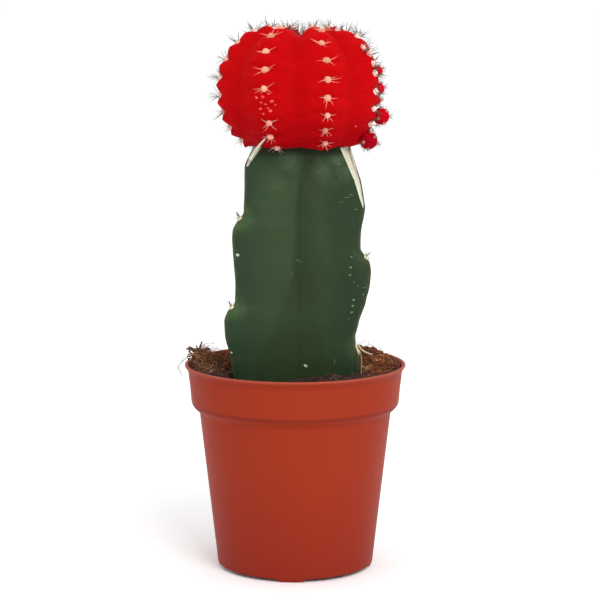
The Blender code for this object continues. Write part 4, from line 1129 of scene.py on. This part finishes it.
# Cork: matt, each spot of one tone between two.
def cork_material(name, dark, light, roughness):
    cork = material_of(name, Roughness=roughness)
    chance = add(cork, "Attribute", {}, attribute_name="chance").outputs["Fac"]
    tone = add(cork, "Mix", {FACTOR: chance, COLOUR_A: linear(dark), COLOUR_B: linear(light)},
               data_type="RGBA")
    feed(cork, Base_Color=tone.outputs[COLOUR_OUT])
    return cork


def spots(tree, pixels):
    """Flat raised dots on a surface, each where the photograph shows it."""
    made = []
    for column, row, radius in pixels:
        place, normal = seen_on(tree, column, row)
        if place is None:
            continue
        here = facing(place, normal, Vector((0, 0, 1)))
        shape = Matrix.Diagonal((radius * DRAWS.uniform(0.9, 1.3), radius * DRAWS.uniform(0.7, 1.0),
                                 DOT_THICKNESS, 1.0))
        made.append((0, here @ Matrix.Rotation(DRAWS.uniform(-0.6, 0.6), 4, "Z") @ shape, MM, MM))
    return made


scar_cork = cork_material("scar_cork", "#C82C30", "#E05250", 0.7)
dot_cork = cork_material("dot_cork", "#8A9C80", "#C4CCB8", 0.75)
faint_cork = cork_material("faint_cork", "#445A3E", "#6A7E60", 0.7)
scratched = cork_material("scratched_skin", "#3C4F36", "#586C50", 0.7)
for name, node, tree, pixels, material in (
        ("ball_scars", "scion", ball_tree, SCAR_PIXELS, scar_cork),
        ("stock_dots", "rootstock", stock_tree, STOCK_DOT_PIXELS, dot_cork),
        ("stock_faint_dots", "rootstock", stock_tree, FAINT_DOT_PIXELS, faint_cork)):
    carry(copies(name, cushions, spots(tree, pixels), material))
scratches = []
for column, row, reach, slope in STOCK_SCRATCHES:
    place, normal = seen_on(stock_tree, column, row)
    here = facing(place, normal, Vector((0, 0, 1))) @ Matrix.Rotation(math.radians(slope), 4, "Z")
    scratches.append((0, here @ Matrix.Diagonal((reach, SCRATCH_WIDTH, SCRATCH_THICKNESS, 1.0)), MM, MM))
carry(copies("stock_scratches", cushions, scratches, scratched))


# Aerial roots. Thin pale roots that the stock has put out low on its right rib, which run
# down and out to the mix and have dried to a buff cord.
ROOT_ROUTES = (  # as pixels and the distance in front of the pot's axis, with the radius
    (((355.0, 343.5, 8.6), (356.6, 347.5, 9.6), (358.2, 350.5, 10.0), (360.4, 353.2, 9.6)), 0.44),
    (((358.5, 345.5, 8.6), (361.5, 349.6, 8.4), (365.8, 352.4, 7.6), (372.2, 354.6, 6.2)), 0.3),
    (((360.0, 352.0, 9.8), (361.2, 357.0, 10.6), (361.6, 363.5, 12.0), (361.0, 374.0, 14.4)), 0.22),
    (((357.2, 348.0, 9.8), (357.8, 352.0, 10.4), (359.6, 354.6, 10.6)), 0.26),
)
GREEN_ROOT = 3
CORD_SIDES = 8
CORD_ROWS = 30


def pixel_route(stops):
    """A route in millimetres, from stops given as pixels and nearness."""
    return [pixel_place(*stop) / MM for stop in stops]


def cord_along(name, route, radius, end_share, uneven=0.12):
    """A tube along a smooth route in millimetres, thinner at its end: a cylinder cut into rows,
    each of which is set on the route."""
    curve = smooth_curve(route)
    length = curve[1][-1]
    deselect_all()
    bpy.ops.mesh.primitive_cylinder_add(vertices=CORD_SIDES, radius=1.0, depth=1.0, end_fill_type="NGON")
    piece = begin(name)
    cut_rows(piece, CORD_ROWS)
    for vertex in piece.data.vertices:
        share = vertex.co.z + 0.5
        way = share * length
        ahead = (along_curve(curve, way + 0.3) - along_curve(curve, way - 0.3)).normalized()
        across = ahead.cross(Vector((0.3, 1.0, 0.2))).normalized()
        width = radius * (1.0 + (end_share - 1.0) * share)
        width *= 1.0 + uneven * noise.noise(Vector((way * 1.3, radius * 9.0, route[0][0])))
        offset = across * vertex.co.x + ahead.cross(across) * vertex.co.y
        vertex.co = (along_curve(curve, way) + offset * width) * MM
    measure(piece, "chance", [0.5] * len(piece.data.vertices))
    pick(piece)
    bpy.ops.object.shade_smooth()
    return piece


# Root bark: thin, dry and matt, streaked buff, and olive on the one that is still green.
root_bark = dried_material("dried_root", "#9C8A5C", "#DCD0AC", 0.9, 4.0, 0.7)
green_root = dried_material("olive_root", "#55481E", "#94834E", 0.9, 4.0, 0.7)
for number, (route, radius) in enumerate(ROOT_ROUTES, 1):
    root = cord_along(f"aerial_root_{number}", pixel_route(route), radius, 0.6)
    carry(root, green_root if number == GREEN_ROOT else root_bark)

# The far edge of each slice dried to a thick grey-buff lip, and the left slice ends in a thin
# pale sliver that laps over the ball. Each stop is a pixel and its nearness.
LIP_PIXELS = (((255.5, 147.5, 9.0), (252.8, 153.5, 9.0), (251.0, 159.0, 9.4), (249.2, 163.0, 9.6),
               (247.0, 166.2, 9.8)),
              ((349.8, 149.5, 6.0), (353.6, 163.0, 7.0), (357.0, 176.5, 8.0), (360.0, 190.0, 8.8),
               (363.0, 204.0, 9.4)))
LIP_RADIUS_MM = 0.42
SLIVER_PIXELS = ((250.4, 159.0, 10.0), (254.2, 153.0, 11.6), (258.2, 147.0, 14.6))
SLIVER_ON_BALL = ((262.0, 142.4), (265.8, 138.6))
SLIVER_RADIUS_MM = 0.62
SLIVER_CLEAR = 0.15
grey_callus = dried_material("grey_callus", "#8C8470", "#C8C0B0", 1.2, 4.0, 0.85)
for number, stops in enumerate(LIP_PIXELS, 1):
    lip = cord_along(f"slice_lip_{number}", pixel_route(stops), LIP_RADIUS_MM, 0.6)
    carry(lip, grey_callus)
sliver_route = pixel_route(SLIVER_PIXELS)
for column, row in SLIVER_ON_BALL:
    place, normal = seen_on(ball_tree, column, row)
    sliver_route.append(place / MM + normal * SLIVER_CLEAR)
sliver = cord_along("slice_sliver", sliver_route, SLIVER_RADIUS_MM, 0.35)
carry(sliver, callus)


# The potting mix. Peat crumbs, chips of bark and coir fibre, filled to the lip and heaped at
# the back and left, with a plain hole in which the stock stands.
SOIL_SIDES = 180
SOIL_AT_STEM = 60.6
SOIL_AT_WALL = 59.4
SOIL_REACH = 30.4
# Heaps and dips: where they are as X and Y, how tall, and how wide.
SOIL_HEAPS = ((14.0, 20.0, 2.6, 8.0), (25.0, 13.0, 1.5, 6.0), (28.0, 2.0, 0.9, 4.5),
              (-16.0, 25.0, -0.6, 6.0), (-17.0, 0.0, -1.0, 5.0), (-28.0, 4.0, 3.6, 3.6),
              (-7.0, -20.0, -6.5, 10.0), (11.0, -17.0, -1.0, 5.0))
SOIL_ROUGHNESS = 0.55
SOIL_CRUMB = 1.6
SOIL_CRUMB_WIDTH = 1.9
SOIL_EDGE_RADIUS = 30.8
SOIL_RINGS = 26
SOIL_TOP_SHARE = 0.6  # of the radius, that the rings cover before they are spread to the stock
SOIL_LEVEL = 60.0  # where the rings lie before the surface is shaped
SOIL_HOLE_DEPTH = 20.0
SOIL_HOLE_RADIUS = 11.0
SOIL_CLEARANCE = 0.35
SOIL_BELOW_LIP = 0.2


def soil_height(x, y):
    """The height of the mix in millimetres, without its crumbs."""
    share = min(math.hypot(x, y) / SOIL_REACH, 1.0)
    height = SOIL_AT_STEM + (SOIL_AT_WALL - SOIL_AT_STEM) * share**2
    for heap_x, heap_y, tall, spread in SOIL_HEAPS:
        height += tall * math.exp(-((x - heap_x) ** 2 + (y - heap_y) ** 2) / (2 * spread**2))
    return height + SOIL_ROUGHNESS * noise.fractal(Vector((x, y, 0.0)) / 5.0, 1.0, 2.0, 3)


def edge_radius(height):
    """How far the mix reaches at a height: nearly to the pot's flaring wall."""
    return read_off(((48.6, 29.3), (57.4, 29.8), (60.0, 31.0)), height)[0]


hole_reaches = {}
for height in (57.0, 62.0):
    for step in range(1440):
        place = stock_point(step / 1440, height)[0].xy / MM
        degree = round(math.degrees(math.atan2(place.x, -place.y))) % 360
        hole_reaches[degree] = max(hole_reaches.get(degree, 0.0), place.length)


def stock_reach(turn):
    """How far the stock reaches from the pot's axis at the mix's surface, and a little more."""
    degree = round(math.degrees(turn))
    return max(hole_reaches[(degree + step) % 360] for step in (-1, 0, 1)) + SOIL_CLEARANCE


soil_outline = [(20.9, 3.1), (21.9, 4.4), (26.9, 46.6), (29.0, 49.5), (29.3, 52.0)]
soil_outline += [(SOIL_EDGE_RADIUS * (1.0 - SOIL_TOP_SHARE * ring / SOIL_RINGS), SOIL_LEVEL)
                 for ring in range(SOIL_RINGS + 1)]
hole_floor = SOIL_LEVEL - SOIL_HOLE_DEPTH
soil = turned("potting_mix", soil_outline + [(SOIL_HOLE_RADIUS, hole_floor)], SOIL_SIDES)
for vertex in soil.data.vertices:
    x, y, height = vertex.co / MM
    radius = math.hypot(x, y)
    in_hole = abs(height - hole_floor) < 0.01 and radius < SOIL_HOLE_RADIUS + 0.01
    if not in_hole and abs(height - SOIL_LEVEL) >= 0.01:
        continue
    turn = math.atan2(x, -y)
    share = 1.0 if in_hole else min((SOIL_EDGE_RADIUS - radius) / (SOIL_TOP_SHARE * SOIL_EDGE_RADIUS), 1.0)
    radius = SOIL_EDGE_RADIUS + (stock_reach(turn) - SOIL_EDGE_RADIUS) * share
    x, y = radius * math.sin(turn), -radius * math.cos(turn)
    if not in_hole:
        lie = soil_height(x, y)
        drawn_in = 1.0 - (1.0 - edge_radius(lie) / SOIL_EDGE_RADIUS) * (1.0 - share)
        x, y = x * drawn_in, y * drawn_in
        crumb = 0.5 * noise.turbulence(Vector((x, y, 0.0)) / SOIL_CRUMB_WIDTH, 4, False) - 0.3
        height = lie + crumb * SOIL_CRUMB
        if share < 0.02:
            height = min(height, POT_HEIGHT - SOIL_BELOW_LIP)
    vertex.co = Vector((x, y, height)) * MM
pick(soil)
bpy.ops.object.shade_smooth_by_angle(angle=math.radians(50))


DRY_TINT = (1.2, 0.93, 0.58, 1.0)  # what the dry mix at the right multiplies its colour by
FRONT_SHADE_BROWN = "#1C120C"


def mix_material(name, dark, light, grain_mm):
    """Crumbly organic matter: matt, mottled between two browns, redder where it has dried on the
    right and darker in front with painted shade, with a rough relief."""
    material = material_of(name, Roughness=0.95)
    coords = add(material, "TexCoord", {}).outputs["Object"]
    place = add(material, "SeparateXYZ", {"Vector": coords})
    grain = add(material, "TexNoise", {"Vector": coords, "Scale": 1 / (grain_mm * MM), "Detail": 6.0,
                                       "Roughness": 0.7})
    spread = add(material, "MapRange", {"Value": grain.outputs["Fac"], "From Min": 0.35, "From Max": 0.65})
    chance = add(material, "Attribute", {}, attribute_name="chance").outputs["Fac"]
    shade = add(material, "MapRange", {"Value": chance, "To Min": 0.65, "To Max": 1.25})
    dry = add(material, "MapRange", {"Value": place.outputs["X"], "From Min": 14 * MM, "From Max": 24 * MM})
    warm = add(material, "Mix", {FACTOR: dry.outputs[0], COLOUR_A: (1.0, 1.0, 1.0, 1.0),
                                 COLOUR_B: DRY_TINT}, data_type="RGBA")
    # painted shade on the mix in front, fading out towards the right
    front = add(material, "MapRange", {"Value": place.outputs["Y"], "From Min": -3 * MM,
                                       "From Max": -11 * MM, "To Max": 0.66})
    left = add(material, "MapRange", {"Value": place.outputs["X"], "From Min": 16 * MM, "From Max": 23 * MM,
                                      "To Min": 1.0, "To Max": 0.0})
    front_shade = add(material, "Math", {0: front.outputs[0], 1: left.outputs[0]}, operation="MULTIPLY")
    colour = linear(dark)
    for share, tone, blending in ((spread.outputs[0], linear(light), "MIX"),
                                  (1.0, shade.outputs[0], "MULTIPLY"),
                                  (1.0, warm.outputs[COLOUR_OUT], "MULTIPLY"),
                                  (front_shade.outputs[0], linear(FRONT_SHADE_BROWN), "MIX")):
        colour = add(material, "Mix", {FACTOR: share, COLOUR_A: colour, COLOUR_B: tone}, data_type="RGBA",
                     blend_type=blending).outputs[COLOUR_OUT]
    relief = add(material, "Bump", {"Height": grain.outputs["Fac"], "Strength": 0.9, "Distance": 0.3 * MM})
    feed(material, Base_Color=colour, Normal=relief.outputs[0])
    return material


peat = mix_material("peat", "#200D06", "#562412", 1.0)
measure(soil, "chance", [0.5] * len(soil.data.vertices))
carry(soil, peat, "soil")
soil_tree = BVHTree.FromObject(soil, bpy.context.evaluated_depsgraph_get())


def crumb_pattern(name, seed, stretch):
    """A pattern for a crumb: a ball of few faces, knocked out of shape."""
    deselect_all()
    bpy.ops.mesh.primitive_uv_sphere_add(segments=7, ring_count=5, radius=1.0)
    piece = begin(name)
    bpy.ops.object.mode_set(mode="OBJECT")
    for vertex in piece.data.vertices:
        knock = noise.noise(vertex.co * 1.7 + Vector((seed, 0, 0)))
        vertex.co *= 1.0 + 0.45 * knock
        vertex.co.x *= stretch
    measure(piece, "bend", [0.0] * len(piece.data.vertices))
    return piece


def on_mix(turn, radius):
    """The place and normal on the mix below a point."""
    start = at(turn, radius, 90.0)
    place, normal, _, _ = soil_tree.ray_cast(start, Vector((0, 0, -1)))
    return place, normal


HEAP_SHARE = 0.2  # of the crumbs, that lie on the heap at the left


def tumble():
    """A turn that lays a crumb on any side."""
    turn = Matrix.Rotation(DRAWS.uniform(0, math.tau), 4, "Z")
    return turn @ Matrix.Rotation(DRAWS.uniform(-1, 1), 4, "X")


def strewn(count, sizes, patterns, sink):
    """Placings for crumbs strewn over the mix, some of them on the heap at the left."""
    made = []
    while len(made) < count:
        turn = DRAWS.uniform(-math.pi, math.pi)
        radius = SOIL_EDGE_RADIUS * math.sqrt(DRAWS.uniform(0.08, 1.0))
        if DRAWS.random() < HEAP_SHARE:
            turn, radius = DRAWS.gauss(math.radians(-100), 0.14), DRAWS.uniform(24.0, 29.6)
        size = DRAWS.uniform(*sizes) * DRAWS.uniform(0.6, 1.0)
        if radius < stock_reach(turn) + 0.6 * size:
            continue
        place, normal = on_mix(turn, radius)
        if place is None or place.z < 50 * MM or radius + 0.6 * size > edge_radius(place.z / MM):
            continue
        here = facing(place + normal * sink * size * MM, normal, Vector((0.3, 1, 0)).normalized())
        spin = tumble()
        made.append((DRAWS.randrange(len(patterns)), here @ spin, size * MM, size * MM))
    return made


# Loose crumbs heaped over the lip at the left: as pixels, nearness and radius.
HEAP_BITS = ((189.5, 351.8, -2.5, 0.34), (191.2, 353.6, -1.5, 0.4), (188.6, 354.4, -1.5, 0.3),
             (193.2, 351.0, -3.0, 0.36), (195.6, 351.4, -3.0, 0.3), (190.0, 356.0, -0.5, 0.34),
             (192.8, 355.0, -1.0, 0.4), (196.5, 353.0, -2.0, 0.4), (187.6, 356.4, -0.6, 0.3),
             (199.0, 350.6, -3.4, 0.3), (194.6, 353.2, -2.0, 0.5), (188.4, 358.6, 0.4, 0.3))
crumbs = [crumb_pattern("crumb_a", 0.0, 1.2), crumb_pattern("crumb_b", 4.0, 1.0),
          crumb_pattern("crumb_c", 9.0, 1.5)]
bark = mix_material("bark_chip", "#2C1106", "#783C18", 0.8)
coir_dust = mix_material("coir_dust", "#5C2E14", "#985B28", 0.7)
for name, count, sizes, sink, material in (("peat_crumbs", 2200, (0.22, 0.62), 0.1, peat),
                                           ("bark_chips", 260, (0.3, 1.0), 0.1, bark),
                                           ("coir_crumbs", 420, (0.18, 0.42), 0.2, coir_dust)):
    carry(copies(name, crumbs, strewn(count, sizes, crumbs, sink), material))

heap = []
for column, row, nearness, radius in HEAP_BITS:
    here = Matrix.Translation(pixel_place(column, row, nearness)) @ tumble()
    heap.append((DRAWS.randrange(3), here, radius * MM, radius * MM))
carry(copies("heap_bits", crumbs, heap, bark))

# Coir fibre: stiff tan hairs of coconut husk that lie across the mix and curl out of it.
FIBRE_COUNT = 1700
FIBRE_RADIUS = 0.09
FIBRE_LENGTH = (2.5, 7.5)
FIBRE_SWINGS = ((0.10, 1.0), (0.16, 1.6), (0.07, 2.4), (0.22, 0.7))  # how far and how often one sways
fibre_patterns = []
for number, (swing, waves) in enumerate(FIBRE_SWINGS):
    pattern = needle(f"fibre_{number}", 0.0, 3, 8)
    bends = [swing * math.sin(math.tau * waves * v.co.z + number) for v in pattern.data.vertices]
    pattern.data.attributes["bend"].data.foreach_set("value", bends)
    fibre_patterns.append(pattern)


def tip_in_pot(tip, reach, clearance):
    """Whether a fibre's tip stays inside the pot's wall and clear of the stock."""
    stock_edge = stock_reach(math.atan2(tip.x, -tip.y)) + clearance
    return stock_edge * MM <= tip.xy.length <= reach * MM


coir = mix_material("coir_fibre", "#6E3C1E", "#B07544", 2.0)
fibres = []
for number in range(FIBRE_COUNT):
    turn = DRAWS.uniform(-math.pi, math.pi)
    radius = SOIL_EDGE_RADIUS * math.sqrt(DRAWS.uniform(0.1, 0.97))
    if number % 4 == 0:
        turn, radius = DRAWS.gauss(math.radians(-97), 0.2), DRAWS.uniform(20.0, 29.4)
    if radius < stock_reach(turn) + 0.8:
        continue
    place, normal = on_mix(turn, radius)
    if place is None or place.z < 50 * MM:
        continue
    length = DRAWS.uniform(*FIBRE_LENGTH)
    angle = DRAWS.uniform(0.0, math.tau)
    rise = DRAWS.choice((0.04, 0.08, 0.15, 0.35)) if number % 5 else DRAWS.uniform(0.4, 1.2)
    heading = Vector((math.cos(angle), math.sin(angle), rise)).normalized()
    if not tip_in_pot(place + heading * length * MM, 30.4, 0.5):
        continue
    # Few lie on the mix in front and close by the stock at the left, where the mix is in shade.
    in_front = abs(turn) < 1.1 and (rise > 0.1 or number % 3)
    by_stock = -2.0 < turn < -1.0 and radius < 24.0 and number % 3
    if in_front or by_stock:
        continue
    here = aimed(Matrix.Translation(place + Vector((0, 0, 0.2 * MM))), Vector((0, 0, 0)), heading)
    fibres.append((DRAWS.randrange(4), here, FIBRE_RADIUS * DRAWS.uniform(0.6, 1.5) * MM, length * MM))
carry(copies("coir_fibres", fibre_patterns, fibres, coir))

# Straw: pale coarse fibre, matted in wads at both sides and in a few strands in front. Each wad
# as the pixel of its middle, its spread in pixels, the number of strands and their length.
STRAW_WADS = ((204.0, 367.0, 3.6, 34, 2.4), (208.5, 371.5, 2.4, 16, 2.0), (195.0, 355.0, 5.0, 22, 2.6),
              (190.0, 352.0, 3.0, 14, 2.0), (201.0, 360.0, 4.0, 12, 2.6), (366.0, 369.0, 1.8, 36, 2.0),
              (380.0, 361.0, 3.5, 16, 2.8), (389.0, 357.0, 4.0, 6, 2.4), (393.0, 362.0, 4.0, 4, 2.4),
              (345.0, 375.0, 7.0, 12, 1.4), (331.0, 377.0, 7.0, 8, 1.2))
STRAW_RADIUS = (0.1, 0.22)
matted = mix_material("matted_straw", "#A0744E", "#E6C49E", 1.2)
straws = []
for column, row, spread_out, count, reach in STRAW_WADS:
    for _ in range(count):
        pixel = (DRAWS.gauss(column, spread_out), DRAWS.gauss(row, 0.5 * spread_out))
        place, normal = seen_on(soil_tree, *pixel)
        if place is None or place.z < 56 * MM or place.xy.length > 29.8 * MM:
            continue
        angle = DRAWS.uniform(0.0, math.tau)
        heading = Vector((math.cos(angle), math.sin(angle), DRAWS.uniform(0.1, 0.9))).normalized()
        length = reach * DRAWS.uniform(0.5, 1.3)
        if not tip_in_pot(place + heading * length * MM, 30.2, 0.4):
            continue
        straws.append((DRAWS.randrange(4), aimed(Matrix.Translation(place), Vector((0, 0, 0)), heading),
                       DRAWS.uniform(*STRAW_RADIUS) * MM, length * MM))
carry(copies("straw_wads", fibre_patterns, straws, matted))

# Loose bits: a dark twig and curled fibres on the heap at the left, one of them hanging over
# the lip, and a short thread at the right. Each as its name, route, radius,
# its end's share of that, and its kind.
LOOSE_ROUTES = (
    ("twig", ((-28.2, 4.2, 60.6), (-28.4, 3.6, 62.8), (-28.1, 3.2, 64.6), (-27.5, 3.0, 66.2)),
     0.42, 0.5, "dark"),
    ("twig_fork", ((-28.3, 3.5, 63.2), (-29.0, 3.2, 64.4), (-29.3, 3.0, 65.0)), 0.3, 0.6, "dark"),
    ("bark_sliver", ((-26.8, 3.4, 63.0), (-28.8, 3.2, 63.9), (-30.4, 3.0, 63.7), (-32.2, 3.0, 64.1)),
     0.5, 0.7, "brown"),
    ("bark_sliver_low", ((-29.2, 3.0, 63.2), (-30.6, 2.8, 64.3), (-31.6, 2.8, 64.6)), 0.34, 0.8, "brown"),
    ("bark_lump", ((-27.2, 3.0, 63.4), (-26.2, 3.0, 64.0), (-25.1, 3.0, 63.9)), 0.5, 0.7, "brown"),
    ("curl_over_lip", ((-27.6, 0.0, 62.4), (-30.2, -1.0, 62.9), (-32.6, -1.8, 61.6), (-34.2, -2.2, 59.6),
                       (-33.6, -2.6, 58.0), (-33.2, -2.8, 57.0)), 0.15, 0.6, "grey"),
    ("loop_left", ((-26.0, 1.0, 61.8), (-28.2, 0.2, 63.4), (-30.2, 0.0, 63.0), (-31.2, -0.4, 61.4)),
     0.18, 0.7, "tan"),
    ("thread_right", ((21.4, 8.0, 61.0), (21.9, 7.8, 62.8), (21.7, 7.6, 64.2), (21.9, 7.4, 65.6)),
     0.09, 0.5, "grey"),
)
strand_materials = {"dark": mix_material("twig_bark", "#1A1410", "#443A30", 1.0),
                    "brown": mix_material("bark_sliver", "#3A2418", "#7A5C48", 0.6),
                    "grey": mix_material("dry_stalk", "#5A5444", "#948A70", 1.0), "tan": coir}
for name, route, radius, end_share, kind in LOOSE_ROUTES:
    strand = cord_along(name, route, radius, end_share, uneven=0.25)
    carry(strand, strand_materials[kind])

for pattern in (*needles, *cushions, *crumbs, *fibre_patterns):
    bpy.data.objects.remove(pattern, do_unlink=True)


# The studio: a pale floor that runs back out of sight under a white sky, and one large soft
# light from the front right and above.
FLOOR_WIDTH = 60.0
LIGHT_PLACE = Vector((0.34, -0.80, 0.78))
LIGHT_AIM = Vector((0.0, 0.0, 0.09))
LIGHT_WIDTH = 0.5
LIGHT_WATTS = 6.5
SKY_STRENGTH = 1.06
deselect_all()
bpy.ops.mesh.primitive_plane_add(size=FLOOR_WIDTH)
floor = bpy.context.object
floor.name = "floor"
pale = material_of("pale_floor", Roughness=0.9, Base_Color=(0.95, 0.95, 0.95, 1.0))
floor.data.materials.append(pale)

key = bpy.data.lights.new("key", "AREA")
key.size = LIGHT_WIDTH
key.energy = LIGHT_WATTS
lamp = bpy.data.objects.new("key", key)
lamp.location = LIGHT_PLACE
lamp.rotation_euler = (LIGHT_AIM - LIGHT_PLACE).to_track_quat("-Z", "Y").to_euler()
bpy.context.scene.collection.objects.link(lamp)
sky = bpy.data.worlds.new("sky")
bpy.context.scene.world = sky
sky.use_nodes = True
sky.node_tree.nodes["Background"].inputs["Color"].default_value = (1.0, 1.0, 1.0, 1.0)
sky.node_tree.nodes["Background"].inputs["Strength"].default_value = SKY_STRENGTH
bpy.context.scene.view_settings.view_transform = "Standard"
